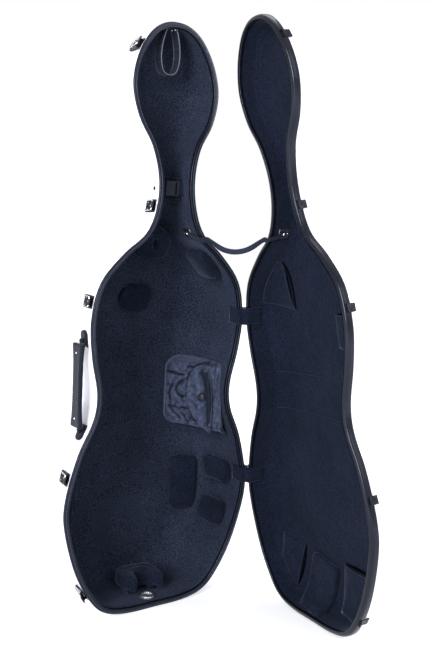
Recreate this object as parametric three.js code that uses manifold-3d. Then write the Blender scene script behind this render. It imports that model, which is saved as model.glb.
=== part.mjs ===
// Hard case for a cello, open on its bottom ends like a book. Millimetres, +Z up.
// Each half is drawn closed: x across the case, y through it, z along it, the lid on the -y side.
import * as THREE from "three";
import Module from "manifold-3d";
import { mergeVertices } from "three/addons/utils/BufferGeometryUtils.js";

const wasm = await Module();
wasm.setup();

// Driving sizes of the case
const LENGTH = 1320;
const BOUT_HALF = 244;
const BASE_DEPTH = 190;
const LID_DEPTH = 86;
const SPINE_LOW = 150;
const SPINE_TOP_MARGIN = 100;
const OPEN_ANGLE = 82.46;
const SPAN_STEPS = 2;

// Outline of the rim, shares of the widest half-width and of the length, bottom to top
const outlineShares = [
  [0, 0],
  [0.287, 0.0004],
  [0.52, 0.0091],
  [0.68, 0.0333],
  [0.857, 0.0894],
  [0.984, 0.1667],
  [0.995, 0.2197],
  [0.889, 0.2939],
  [0.75, 0.35],
  [0.725, 0.3939],
  [0.793, 0.4545],
  [0.82, 0.5152],
  [0.742, 0.5758],
  [0.525, 0.6227],
  [0.311, 0.6561],
  [0.213, 0.697],
  [0.191, 0.7462],
  [0.254, 0.797],
  [0.389, 0.8409],
  [0.453, 0.8902],
  [0.406, 0.9364],
  [0.287, 0.975],
  [0.148, 0.9947],
  [0, 1],
];
// The joint line between the halves rises toward the base's back at the head
const PARTING_RISE = 43;
const partingAtShares = [0, 0.644, 0.72, 0.833, 1];
const partingShares = [0, 0, 0.116, 0.51, 1];
// Depth of each half along the case, shares of the length and of its greatest depth
const baseAtShares = [0, 0.2, 0.5, 0.64, 0.73, 0.85, 0.92, 1];
const baseDepthShares = [0.895, 1, 0.99, 0.79, 0.516, 0.642, 0.674, 0.579];
const lidAtShares = [0, 0.2, 0.5, 0.66, 0.73, 0.85, 0.92, 1];
const lidDepthShares = [0.814, 0.977, 1, 0.93, 0.72, 0.395, 0.302, 0.21];
// Steps of the wall section from the edge to the back, in degrees of a super-ellipse
const sectionDegreeShares = [0, 20, 38, 55, 72, 90];
const BASE_ROUNDNESS = 4.5;
const LID_ROUNDNESS = 4;

// Wall layers, counted inward from the rim's outer face
const SEAT_GAP = 0.3;
const HALF_GAP = 0.8;
const LIP = 1.8;
const SHELL_WALL = 3;
const LINING = 5;
const RIM_WEB = 3;
const RIM_INSET = 12.8;
const INNER_LIP = 1.6;
const INNER_LIP_DEPTH = 8;
const BASE_FLANGE = 9;
const LID_FLANGE = 18;
const SHELL_AT = LIP + SEAT_GAP;
const LINING_AT = SHELL_AT + SHELL_WALL + SEAT_GAP;
const CAVITY_AT = LINING_AT + LINING + SEAT_GAP;
const WALL_EDGE = HALF_GAP + RIM_WEB + SEAT_GAP;

const WHITE = { color: 0xf4f4f2, roughness: 0.2 };
const BLACK = { color: 0x14161b, roughness: 0.5 };
const VELOUR = { color: 0x1b2233, roughness: 0.95 };
const WEB = { color: 0x20222a, roughness: 0.85 };
const CHROME = { color: 0xc9ccd1, roughness: 0.2, metalness: 1 };
const STEEL = { color: 0x8b8f95, roughness: 0.35, metalness: 1 };
const LEATHER = { color: 0x191a1e, roughness: 0.6 };
const RUBBER = { color: 0x111214, roughness: 0.8 };

const CASE = new THREE.Group();
const BASE = new THREE.Group();
const HINGED = new THREE.Group();
const LID = new THREE.Group();

// Solids and meshes
function solidOf(geometry) {
  const bare = geometry.index ? geometry.toNonIndexed() : geometry.clone();
  bare.deleteAttribute("normal");
  bare.deleteAttribute("uv");
  const merged = mergeVertices(bare, 1e-3);
  const vertProperties = new Float32Array(merged.attributes.position.array);
  const corners = [...merged.index.array];
  const kept = [];
  for (let i = 0; i < corners.length; i += 3) {
    const [a, b, c] = corners.slice(i, i + 3);
    if (a !== b && b !== c && c !== a) kept.push(a, b, c);
  }
  const mesh = new wasm.Mesh({ numProp: 3, vertProperties, triVerts: new Uint32Array(kept) });
  mesh.merge();
  const solid = new wasm.Manifold(mesh);
  return solid;
}

function geometryOf(solid) {
  const mesh = solid.getMesh();
  const positions = new Float32Array(mesh.numVert * 3);
  for (let i = 0; i < mesh.numVert; i++) {
    for (let k = 0; k < 3; k++) positions[i * 3 + k] = mesh.vertProperties[i * mesh.numProp + k];
  }
  const geometry = new THREE.BufferGeometry();
  geometry.setAttribute("position", new THREE.BufferAttribute(positions, 3));
  geometry.setIndex([...mesh.triVerts]);
  const flat = geometry.toNonIndexed();
  flat.computeVertexNormals();
  return flat;
}

function add(group, name, shape, look) {
  const geometry = shape.isBufferGeometry ? geometryOf(solidOf(shape)) : geometryOf(shape);
  const material = new THREE.MeshStandardMaterial(look);
  const mesh = new THREE.Mesh(geometry, material);
  mesh.name = name;
  group.add(mesh);
  return mesh;
}

function joined(...solids) {
  return solids.reduce((whole, next) => whole.add(next));
}

// The outline moved inward by a distance: right half, bottom centre to top centre
const outlineCurve = new THREE.SplineCurve(
  [
    [-outlineShares[1][0], outlineShares[1][1]],
    ...outlineShares,
    [-outlineShares.at(-2)[0], outlineShares.at(-2)[1]],
  ].map(([u, v]) => new THREE.Vector2(u * BOUT_HALF, v * LENGTH)),
);
const SPANS = outlineShares.length - 1;
const HALF_STEPS = SPANS * SPAN_STEPS;
const SPLINE_SPANS = SPANS + 2;

function outlineAt(inset) {
  const points = [];
  for (let k = 0; k <= HALF_STEPS; k++) {
    const t = (1 + k / SPAN_STEPS) / SPLINE_SPANS;
    const p = outlineCurve.getPoint(t);
    const along = outlineCurve.getTangent(t);
    const end = k === 0 || k === HALF_STEPS;
    const x = end ? 0 : p.x - along.y * inset;
    const z = end ? p.y + Math.sign(along.x) * inset : p.y + along.x * inset;
    points.push([x, z]);
  }
  const left = points.slice(1, -1).reverse().map(([x, z]) => [-x, z]);
  return [...points, ...left];
}

const RING = 2 * HALF_STEPS;

function stepped(atShares, valueShares, height) {
  const at = atShares.map((share) => share * LENGTH);
  const curve = new THREE.CubicInterpolant(at, valueShares, 1, new Float32Array(1));
  return curve.evaluate(THREE.MathUtils.clamp(height, 0, LENGTH))[0];
}
function parting(z) {
  if (z < partingAtShares[1] * LENGTH) return 0;
  return stepped(partingAtShares, partingShares, z) * PARTING_RISE;
}
const half = {
  base: {
    side: 1,
    roundness: BASE_ROUNDNESS,
    depth: (z) => stepped(baseAtShares, baseDepthShares, z) * BASE_DEPTH,
  },
  lid: {
    side: -1,
    roundness: LID_ROUNDNESS,
    depth: (z) => stepped(lidAtShares, lidDepthShares, z) * LID_DEPTH,
  },
};

// One row of wall points for each step of the section, from the edge to the spine
function wallRows(which, inset, lessDepth, edge) {
  const { side, roundness, depth } = half[which];
  const outline = outlineAt(inset);
  return sectionDegreeShares.map((degrees, row) => {
    const angle = THREE.MathUtils.degToRad(degrees);
    const last = row === sectionDegreeShares.length - 1;
    const inward = last ? 0 : Math.cos(angle) ** (2 / roundness);
    const deep = last ? 1 : Math.sin(angle) ** (2 / roundness);
    return outline.map(([px, pz]) => {
      const spine = THREE.MathUtils.clamp(pz, SPINE_LOW, LENGTH - SPINE_TOP_MARGIN);
      const z = spine + (pz - spine) * inward;
      const front = parting(z) + side * edge;
      const back = side * (depth(z) - lessDepth);
      return [px * inward, front + (back - front) * deep, z];
    });
  });
}

function meshFromRows(rows, closeFront = false, crossedRows = 0) {
  const points = [];
  const faces = [];
  rows.forEach((row) => points.push(...row));
  const at = (row, i) => row * RING + ((i + RING) % RING);
  for (let row = 0; row < rows.length - 1; row++) {
    for (let i = 0; i < RING; i++) {
      const [a, b] = [at(row, i), at(row, i + 1)];
      const [c, d] = [at(row + 1, i + 1), at(row + 1, i)];
      if (row < crossedRows) faces.push([a, b, d], [b, c, d]);
      else faces.push([a, b, c], [a, c, d]);
    }
  }
  if (closeFront) {
    for (let i = 0; i < HALF_STEPS; i++) {
      faces.push([at(0, i), at(0, RING - i), at(0, i + 1)]);
      faces.push([at(0, i + 1), at(0, RING - i), at(0, RING - i - 1)]);
    }
  }
  return closedGeometry(points, faces);
}

// Merges the spine, drops the flat faces, and turns the surface outward
function closedGeometry(points, faces) {
  const keys = new Map();
  const unique = [];
  const index = points.map((p) => {
    const key = p.map((v) => Math.round(v * 1000)).join(" ");
    if (!keys.has(key)) {
      keys.set(key, unique.length);
      unique.push(p);
    }
    return keys.get(key);
  });
  const kept = faces
    .map((face) => face.map((i) => index[i]))
    .filter(([a, b, c]) => a !== b && b !== c && c !== a);
  let volume = 0;
  for (const face of kept) {
    const [a, b, c] = face.map((i) => new THREE.Vector3(...unique[i]));
    volume += a.dot(b.cross(c));
  }
  const turned = volume < 0 ? kept.map(([a, b, c]) => [a, c, b]) : kept;
  const geometry = new THREE.BufferGeometry();
  geometry.setAttribute("position", new THREE.Float32BufferAttribute(unique.flat(), 3));
  geometry.setIndex(turned.flat());
  return geometry;
}

// A wall layer: outer surface, inner surface, and the edge between them
function wall(which, inset, thickness, lessDepth) {
  const outer = wallRows(which, inset, lessDepth, WALL_EDGE);
  const inner = wallRows(which, inset + thickness, lessDepth + thickness, WALL_EDGE);
  return meshFromRows([...outer.reverse(), ...inner], false, outer.length - 1);
}

// The space inside the lining, closed at the front
function cavity(which, clear = 0) {
  const lessDepth = SHELL_WALL + LINING + 3 * SEAT_GAP + clear;
  return solidOf(meshFromRows(wallRows(which, CAVITY_AT + clear, lessDepth, WALL_EDGE), true));
}

// An edge profile: a closed section, inset and depth pairs, carried round the outline
function edgeProfile(which, section) {
  const { side } = half[which];
  const rows = section.map(([inset, deep]) =>
    outlineAt(inset).map(([x, z]) => [x, parting(z) + side * deep, z]),
  );
  rows.push(rows[0]);
  return meshFromRows(rows);
}

function rimSection(flange) {
  return [
    [0, HALF_GAP],
    [RIM_INSET, HALF_GAP],
    [RIM_INSET, INNER_LIP_DEPTH],
    [RIM_INSET - INNER_LIP, INNER_LIP_DEPTH],
    [RIM_INSET - INNER_LIP, HALF_GAP + RIM_WEB],
    [LIP, HALF_GAP + RIM_WEB],
    [LIP, flange],
    [0, flange],
  ];
}

// Where a point of the outline is: height on one side, with the directions along and out of the rim
function stationAt(height, right, inset = 0) {
  const outline = outlineAt(inset).slice(0, HALF_STEPS + 1);
  const i = outline.findIndex(([, z], k) => k > 2 && z >= height);
  const [x0, z0] = outline[i - 1];
  const [x1, z1] = outline[i];
  const share = (height - z0) / (z1 - z0);
  const sign = right ? 1 : -1;
  const from = new THREE.Vector3(sign * x0, parting(z0), z0);
  const to = new THREE.Vector3(sign * x1, parting(z1), z1);
  const along = to.clone().sub(from).normalize();
  const out = new THREE.Vector3(sign * (z1 - z0), 0, x0 - x1).normalize();
  return { at: from.lerp(to, share), along, out };
}

// A frame on the outside of a wall: x runs back from the wall's front edge, y stands out, z runs along
function wallFrame(which, height, right) {
  const { at, along, out } = stationAt(height, right, SHELL_AT);
  const back = new THREE.Vector3().crossVectors(out, along);
  if (back.y * half[which].side < 0) back.negate();
  const third = new THREE.Vector3().crossVectors(back, out);
  at.y += half[which].side * WALL_EDGE;
  const frame = new THREE.Matrix4().makeBasis(back, out, third).setPosition(at);
  return frame;
}

const caster = new THREE.Raycaster();
const BOTH = new THREE.MeshBasicMaterial({ side: THREE.DoubleSide });
function firstHit(geometry, from, direction) {
  caster.set(from, direction.clone().normalize());
  const [hit] = caster.intersectObject(new THREE.Mesh(geometry, BOTH));
  return hit;
}

// A frame on the inside of a lining: z stands out of the wall into the cavity, y runs up the case
function insideFrame(lining, from, direction, turn = 0) {
  const hit = firstHit(lining, new THREE.Vector3(...from), new THREE.Vector3(...direction));
  const out = hit.face.normal.clone();
  if (out.dot(new THREE.Vector3(...direction)) > 0) out.negate();
  const up = new THREE.Vector3(0, 0, 1);
  const across = new THREE.Vector3().crossVectors(up, out).normalize();
  up.crossVectors(out, across);
  const frame = new THREE.Matrix4().makeBasis(across, up, out).setPosition(hit.point);
  return frame.multiply(new THREE.Matrix4().makeRotationZ(turn));
}

// A block with rounded corners and a soft front edge, standing on z = 0 and reaching behind it
const CORNER_STEPS = 2;
function pad(width, height, thickness, corner, soft, behind) {
  const shape = roundedShape(width - 2 * soft, height - 2 * soft, corner);
  const depth = thickness + behind - 2 * soft;
  const block = new THREE.ExtrudeGeometry(shape, {
    depth,
    bevelSize: soft,
    bevelThickness: soft,
    bevelSegments: 1,
    curveSegments: CORNER_STEPS,
  });
  return block.translate(0, 0, soft - behind);
}

const CORNER_SHARE = 0.97;
function roundedShape(width, height, corner) {
  const w = width / 2;
  const h = height / 2;
  const c = Math.min(corner, CORNER_SHARE * w, CORNER_SHARE * h);
  const shape = new THREE.Shape();
  shape.moveTo(c - w, -h);
  shape.lineTo(w - c, -h);
  shape.quadraticCurveTo(w, -h, w, c - h);
  shape.lineTo(w, h - c);
  shape.quadraticCurveTo(w, h, w - c, h);
  shape.lineTo(c - w, h);
  shape.quadraticCurveTo(-w, h, -w, h - c);
  shape.lineTo(-w, c - h);
  shape.quadraticCurveTo(-w, -h, c - w, -h);
  return shape;
}

function shapeOf(pairs) {
  return new THREE.Shape(pairs.map(([x, y]) => new THREE.Vector2(x, y)));
}

// A flat profile extruded evenly about its plane, at its own place
function plateOf(shape, thickness, curveSegments = CORNER_STEPS) {
  const plate = new THREE.ExtrudeGeometry(shape, {
    depth: thickness,
    bevelEnabled: false,
    curveSegments,
  });
  return plate.translate(0, 0, -thickness / 2);
}

function roundBar(radius, length, sides) {
  return new THREE.CylinderGeometry(radius, radius, length, sides).rotateX(Math.PI / 2);
}

// Shells, linings and edge profiles
const baseShell = wall("base", SHELL_AT, SHELL_WALL, 0);
const lidShell = wall("lid", SHELL_AT, SHELL_WALL, 0);
const baseLining = wall("base", LINING_AT, LINING, SHELL_WALL + SEAT_GAP);
const lidLining = wall("lid", LINING_AT, LINING, SHELL_WALL + SEAT_GAP);
add(BASE, "base_shell", baseShell, WHITE);
add(LID, "lid_shell", lidShell, WHITE);
add(BASE, "base_lining", baseLining, VELOUR);
add(LID, "lid_lining", lidLining, VELOUR);
const baseCavity = cavity("base");
const lidCavity = cavity("lid");
const baseProfile = solidOf(edgeProfile("base", rimSection(BASE_FLANGE)));
const lidProfile = solidOf(edgeProfile("lid", rimSection(LID_FLANGE)));
const SEAL_FROM = 4;
const SEAL_TO = 8;
const SEAL_FOOT = 0.5;
const SEAL_CROWN = -0.4;
add(
  BASE,
  "rim_seal",
  edgeProfile("base", [
    [SEAL_FROM, SEAL_CROWN],
    [SEAL_TO, SEAL_CROWN],
    [SEAL_TO, SEAL_FOOT],
    [SEAL_FROM, SEAL_FOOT],
  ]),
  RUBBER,
);

// The hinge line lies just outside the line that touches both bouts
const HINGE_STANDOFF = 2;
const rightOutline = outlineAt(0).slice(0, HALF_STEPS + 1);
let touch = null;
for (let i = 1; i < rightOutline.length / 2; i++) {
  for (let k = i + 1; k < rightOutline.length; k++) {
    const [xi, zi] = rightOutline[i];
    const [xk, zk] = rightOutline[k];
    const lean = Math.atan2(xi - xk, zk - zi);
    const reach = xi * Math.cos(lean) + zi * Math.sin(lean);
    const inside = rightOutline.every(
      ([x, z]) => x * Math.cos(lean) + z * Math.sin(lean) < reach + SEAT_GAP / 10,
    );
    if (inside && zi < LENGTH / 2 && zk > LENGTH / 2) touch = { lean, reach, low: zi, high: zk };
  }
}
const HINGE_LEAN = touch.lean;
const HINGE_X = (touch.reach + HINGE_STANDOFF) / Math.cos(HINGE_LEAN);
const hingeAxis = new THREE.Vector3(-Math.sin(HINGE_LEAN), 0, Math.cos(HINGE_LEAN));
const hingeOut = new THREE.Vector3(Math.cos(HINGE_LEAN), 0, Math.sin(HINGE_LEAN));

const KNUCKLE = 3.4;
const KNUCKLE_RELIEF = 3.9;
const PIN = 1.5;
const PIN_BORE = 1.8;
const KNUCKLE_LENGTH = 14;
const KNUCKLE_GAP = 0.4;
const LEAF_LENGTH = 44;
const LEAF_REACH = 27;
const LEAF = 1.6;
const PACKER_FROM = 1;
const HINGE_SIDES = 12;
const RELIEF_EXTRA = 1.2;

function hingeFrame(height) {
  const along = height / Math.cos(HINGE_LEAN);
  const at = new THREE.Vector3(HINGE_X, 0, 0).addScaledVector(hingeAxis, along);
  return new THREE.Matrix4()
    .makeBasis(hingeOut, new THREE.Vector3(0, 1, 0), hingeAxis.clone())
    .setPosition(at);
}

// One leaf in the hinge's own frame: x out, y into the half, z along the pin
function leaf(side, knuckles, flange, wallDrift) {
  const face = SEAT_GAP / 2 - HINGE_STANDOFF;
  const seat = face - SHELL_AT - wallDrift;
  const behind = flange + PACKER_FROM;
  const outlinePairs = [
    [face, 0],
    [face + LEAF, 0],
    [face + LEAF, LEAF_REACH],
    [seat, LEAF_REACH],
    [seat + wallDrift / 2, behind],
    [face, behind],
  ].map(([x, y]) => [x, y * side]);
  let whole = solidOf(plateOf(shapeOf(outlinePairs), LEAF_LENGTH));
  const relief = solidOf(roundBar(KNUCKLE_RELIEF, LEAF_LENGTH + 2 * LEAF, HINGE_SIDES));
  whole = whole.subtract(relief);
  const strip = new THREE.BoxGeometry(LEAF, KNUCKLE_RELIEF, KNUCKLE_LENGTH);
  for (const centre of knuckles) {
    const barrel = roundBar(KNUCKLE, KNUCKLE_LENGTH, HINGE_SIDES).translate(0, 0, centre);
    const webAt = side * (KNUCKLE_RELIEF / 2 + KNUCKLE_GAP);
    const web = strip.clone().translate(face + LEAF / 2, webAt, centre);
    whole = whole.add(solidOf(barrel)).add(solidOf(web));
  }
  return whole;
}

const KNUCKLE_PITCH = KNUCKLE_LENGTH + KNUCKLE_GAP;
const stations = { lower: touch.low, upper: touch.high };
const WALL_DRIFT = 0.6;
let baseRelief = null;
for (const [name, height] of Object.entries(stations)) {
  const frame = hingeFrame(height);
  const pin = solidOf(roundBar(PIN, KNUCKLE_PITCH * 3 - KNUCKLE_GAP, HINGE_SIDES));
  const bore = solidOf(roundBar(PIN_BORE, KNUCKLE_LENGTH + LEAF, HINGE_SIDES));
  const baseLeaf = leaf(1, [-KNUCKLE_PITCH, KNUCKLE_PITCH], BASE_FLANGE, WALL_DRIFT).add(pin);
  const lidLeaf = leaf(-1, [0], LID_FLANGE, WALL_DRIFT).subtract(bore);
  add(BASE, "hinge_leaf_base_" + name, geometryOf(baseLeaf).applyMatrix4(frame), STEEL);
  add(LID, "hinge_leaf_lid_" + name, geometryOf(lidLeaf).applyMatrix4(frame), STEEL);
  const reliefLength = LEAF_LENGTH + 2 * RELIEF_EXTRA;
  const relief = roundBar(KNUCKLE_RELIEF, reliefLength, HINGE_SIDES).applyMatrix4(frame);
  baseRelief = baseRelief ? baseRelief.add(solidOf(relief)) : solidOf(relief);
}

// Latches on the base's free side: a plate with ears, a lever, a wire bail; keepers on the lid's flange
const latchHeightShares = { 1: 0.9576, 2: 0.7015, 3: 0.5432, 4: 0.253, 5: 0.047 };
const PLATE_FROM = 9;
const PLATE_LENGTH = 36;
const PLATE_HALF = 14;
const PLATE_TOP = 2.6;
const EAR_FROM = 8;
const EAR_TO = 9.6;
const EAR_HALF = 4.2;
const EAR_STEPS = 4;
const PIVOT_BACK = 16;
const PIVOT_OUT = 5.6;
const LEVER_HALF = 7;
const LEVER_REST = 150;
const BAIL_ARM = 10;
const BAIL_DROP = 1.5;
const BAIL_HALF = 11;
const BAIL_LENGTH = 40;
const WIRE = 1;
const WIRE_BORE = 1.35;
const WIRE_SIDES = 6;
const WIRE_HOLE_SIDES = 8;
const BAIL_CORNER = 3;
const BAIL_CORNER_STEPS = 2;
const KEEPER_BAR_BACK = -14;
const KEEPER_BAR_OUT = 5.2;
const KEEPER_PLATE = 1.4;
const KEEPER_LIP = 1.5;
const KEEPER_LIP_TOP = 7;
const KEEPER_HALF = 9;
const KEEPER_FROM = 8.5;
const KEEPER_TO = 21.5;
const KEEPER_SLACK = 0.45;
const latches = {};

// Highest point of the outer wall under a line or rectangle of a wall frame, in that frame
function highestUnder(frame, centre, halfX, halfZ) {
  const out = new THREE.Vector3().setFromMatrixColumn(frame, 1);
  const back = new THREE.Matrix4().copy(frame).invert();
  let top = -Infinity;
  for (const i of [-1, -0.5, 0, 0.5, 1]) {
    for (const k of halfX ? [-1, 0, 1] : [0]) {
      const above = new THREE.Vector3(centre + k * halfX, LENGTH / 10, i * halfZ).applyMatrix4(frame);
      const hit = firstHit(baseShell, above, out.clone().negate());
      if (hit) top = Math.max(top, hit.point.clone().applyMatrix4(back).y);
    }
  }
  return top;
}

function turned(x, y, degrees) {
  const angle = THREE.MathUtils.degToRad(degrees);
  return [x * Math.cos(angle) - y * Math.sin(angle), x * Math.sin(angle) + y * Math.cos(angle)];
}

function latchPlate(frame) {
  const end = PLATE_FROM + PLATE_LENGTH;
  const profile = shapeOf([
    [PLATE_FROM, SEAT_GAP + highestUnder(frame, PLATE_FROM, 0, PLATE_HALF)],
    [end, SEAT_GAP + highestUnder(frame, end, 0, PLATE_HALF)],
    [end, PLATE_TOP - SEAT_GAP],
    [PLATE_FROM, PLATE_TOP],
  ]);
  let whole = solidOf(plateOf(profile, 2 * PLATE_HALF));
  const ear = new THREE.Shape();
  ear.moveTo(PIVOT_BACK - EAR_HALF, PLATE_TOP / 2);
  ear.lineTo(PIVOT_BACK + EAR_HALF, PLATE_TOP / 2);
  ear.lineTo(PIVOT_BACK + EAR_HALF, PIVOT_OUT);
  ear.absarc(PIVOT_BACK, PIVOT_OUT, EAR_HALF - WIRE, 0, Math.PI, false);
  ear.lineTo(PIVOT_BACK - EAR_HALF, PIVOT_OUT);
  const hole = new THREE.Path();
  hole.absarc(PIVOT_BACK, PIVOT_OUT, PIN_BORE, 0, 2 * Math.PI, true);
  ear.holes.push(hole);
  for (const sign of [-1, 1]) {
    const cheekAt = (sign * (EAR_FROM + EAR_TO)) / 2;
    const cheek = plateOf(ear, EAR_TO - EAR_FROM, EAR_STEPS).translate(0, 0, cheekAt);
    whole = whole.add(solidOf(cheek));
  }
  return whole;
}

// The lever, drawn closed with its pivot at the origin, tip toward +x
const leverProfile = [
  [-2.6, -1.6],
  [2.6, -2.6],
  [13, -2.4],
  [18, 0.4],
  [17.4, 1.8],
  [8, 1.2],
  [1.5, 2.7],
  [-2.2, 1.9],
];
function latchLever() {
  const body = solidOf(plateOf(shapeOf(leverProfile), 2 * LEVER_HALF));
  const hole = solidOf(roundBar(WIRE_BORE, 4 * LEVER_HALF, WIRE_HOLE_SIDES));
  const pin = solidOf(roundBar(PIN, 2 * EAR_TO - SEAT_GAP, WIRE_HOLE_SIDES));
  return body.subtract(hole.translate([BAIL_ARM, -BAIL_DROP, 0])).add(pin);
}

// The wire bail: a closed loop with its bar at the origin, reaching toward +x
function latchBail() {
  const shape = new THREE.Path();
  const b = BAIL_HALF;
  const c = BAIL_CORNER;
  shape.moveTo(0, c - b);
  shape.lineTo(0, b - c);
  shape.quadraticCurveTo(0, b, c, b);
  shape.lineTo(BAIL_LENGTH - c, b);
  shape.quadraticCurveTo(BAIL_LENGTH, b, BAIL_LENGTH, b - c);
  shape.lineTo(BAIL_LENGTH, c - b);
  shape.quadraticCurveTo(BAIL_LENGTH, -b, BAIL_LENGTH - c, -b);
  shape.lineTo(c, -b);
  shape.quadraticCurveTo(0, -b, 0, c - b);
  const points = shape.getPoints(BAIL_CORNER_STEPS).slice(0, -1);
  const rows = points.map((p, i) => {
    const before = points[(i + points.length - 1) % points.length];
    const after = points[(i + 1) % points.length];
    const along = after.clone().sub(before).normalize();
    return Array.from({ length: WIRE_SIDES }, (_, k) => {
      const angle = (2 * Math.PI * k) / WIRE_SIDES;
      const away = WIRE * Math.cos(angle);
      return [p.x + along.y * away, WIRE * Math.sin(angle), p.y - along.x * away];
    });
  });
  const faces = [];
  const at = (i, k) => (i % rows.length) * WIRE_SIDES + (k % WIRE_SIDES);
  for (let i = 0; i < rows.length; i++) {
    for (let k = 0; k < WIRE_SIDES; k++) {
      faces.push([at(i, k), at(i + 1, k), at(i + 1, k + 1)]);
      faces.push([at(i, k), at(i + 1, k + 1), at(i, k + 1)]);
    }
  }
  return solidOf(closedGeometry(rows.flat(), faces));
}

// A keeper riveted on the lid's flange, its lip catching the bail's far bar
function keeper() {
  const lipEdge = KEEPER_BAR_BACK + WIRE + KEEPER_SLACK;
  const profile = shapeOf([
    [-KEEPER_TO, SHELL_AT - SEAT_GAP / 2],
    [-KEEPER_FROM, SHELL_AT - SEAT_GAP / 2],
    [-KEEPER_FROM, SHELL_AT + KEEPER_PLATE],
    [lipEdge + KEEPER_LIP, SHELL_AT + KEEPER_PLATE],
    [lipEdge + KEEPER_LIP, KEEPER_LIP_TOP],
    [lipEdge, KEEPER_LIP_TOP - SEAT_GAP],
    [lipEdge, SHELL_AT + KEEPER_PLATE],
    [-KEEPER_TO, SHELL_AT + KEEPER_PLATE],
  ]);
  return solidOf(plateOf(profile, 2 * KEEPER_HALF));
}

let keepers = null;
for (const [number, share] of Object.entries(latchHeightShares)) {
  const frame = wallFrame("base", share * LENGTH, false);
  const name = "latch_";
  add(BASE, name + "plate_" + number, geometryOf(latchPlate(frame)).applyMatrix4(frame), STEEL);
  const lever = latchLever().rotate([0, 0, LEVER_REST]).translate([PIVOT_BACK, PIVOT_OUT, 0]);
  add(BASE, name + "lever_" + number, geometryOf(lever).applyMatrix4(frame), CHROME);
  const [armX, armY] = turned(BAIL_ARM, -BAIL_DROP, LEVER_REST);
  const pinX = PIVOT_BACK + armX;
  const pinY = PIVOT_OUT + armY;
  const restOut = PLATE_TOP + WIRE + SEAT_GAP;
  const bailRest = THREE.MathUtils.radToDeg(Math.asin((restOut - pinY) / BAIL_LENGTH));
  const bail = latchBail().rotate([0, 0, bailRest]).translate([pinX, pinY, 0]);
  add(BASE, name + "bail_" + number, geometryOf(bail).applyMatrix4(frame), CHROME);
  const closedX = PIVOT_BACK + BAIL_ARM;
  const closedY = PIVOT_OUT - BAIL_DROP;
  const closedTurn = THREE.MathUtils.radToDeg(
    Math.atan2(KEEPER_BAR_OUT - closedY, KEEPER_BAR_BACK - closedX),
  );
  const swing = closedTurn - bailRest;
  latches[number] = { frame, pivot: [PIVOT_BACK, PIVOT_OUT], pin: [pinX, pinY], swing };
  const hook = solidOf(geometryOf(keeper()).applyMatrix4(frame));
  keepers = keepers ? keepers.add(hook) : hook;
}
add(BASE, "base_rim", baseProfile.subtract(baseRelief), BLACK);
add(LID, "lid_rim", lidProfile.add(keepers).subtract(baseRelief), BLACK);

// The carrying handle across the waist: a grip on pivots between two tabs
const HANDLE_BACK = 30;
const HANDLE_OUT = 9;
const tabHeightShares = [0.3288, 0.4803];
const TAB_LENGTH = 30;
const TAB_WIDTH = 26;
const TAB_THICK = 3;
const EYE = 5;
const EYE_LENGTH = 9;
const STEM_WIDTH = 8;
const GRIP_WIDTH = 30;
const GRIP_PULL = 3.5;
const GRIP_THICK = 11;
const GRIP_SOFT = 2;
const GRIP_SOFT_STEPS = 2;
const GRIP_CURVE_STEPS = 6;
const STUB_REACH = 5.5;
const GRIP_OUT = 6;
const GRIP_END_GAP = 3;
const tabFrames = tabHeightShares.map((share) => wallFrame("base", share * LENGTH, false));
const eyes = tabFrames.map((frame) => new THREE.Vector3(HANDLE_BACK, HANDLE_OUT, 0).applyMatrix4(frame));
const gripAxis = eyes[1].clone().sub(eyes[0]);
const gripSpan = gripAxis.length();
gripAxis.normalize();
const gripAcross = new THREE.Vector3(0, 1, 0);
const gripOut = new THREE.Vector3().crossVectors(gripAxis, gripAcross).normalize();
if (gripOut.x > 0) gripOut.negate();
gripAcross.crossVectors(gripAxis, gripOut);
const gripFrame = new THREE.Matrix4()
  .makeBasis(gripOut, gripAcross, gripAxis.clone())
  .setPosition(eyes[0].clone().lerp(eyes[1], 0.5));
[["handle_tab_lower", -1], ["handle_tab_upper", 1]].forEach(([name, sign], i) => {
  const frame = tabFrames[i];
  const seat = highestUnder(frame, HANDLE_BACK, TAB_WIDTH / 2, TAB_LENGTH / 2);
  const seated = new THREE.BoxGeometry(TAB_WIDTH, TAB_THICK, TAB_LENGTH)
    .translate(HANDLE_BACK, seat + SEAT_GAP + TAB_THICK / 2, 0)
    .applyMatrix4(frame);
  const toEye = new THREE.Matrix4().makeTranslation(0, 0, (sign * gripSpan) / 2);
  const eyeFrame = gripFrame.clone().multiply(toEye);
  const eyeBar = roundBar(EYE, EYE_LENGTH, HINGE_SIDES).applyMatrix4(eyeFrame);
  const stemDepth = HANDLE_OUT - seat;
  const stem = new THREE.BoxGeometry(STEM_WIDTH, stemDepth, STEM_WIDTH)
    .translate(HANDLE_BACK, seat + TAB_THICK / 2 + stemDepth / 2, 0)
    .applyMatrix4(frame);
  const bore = roundBar(PIN_BORE, 2 * EYE_LENGTH, WIRE_HOLE_SIDES).applyMatrix4(eyeFrame);
  add(BASE, name, joined(solidOf(seated), solidOf(stem), solidOf(eyeBar)).subtract(solidOf(bore)), LEATHER);
});

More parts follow.
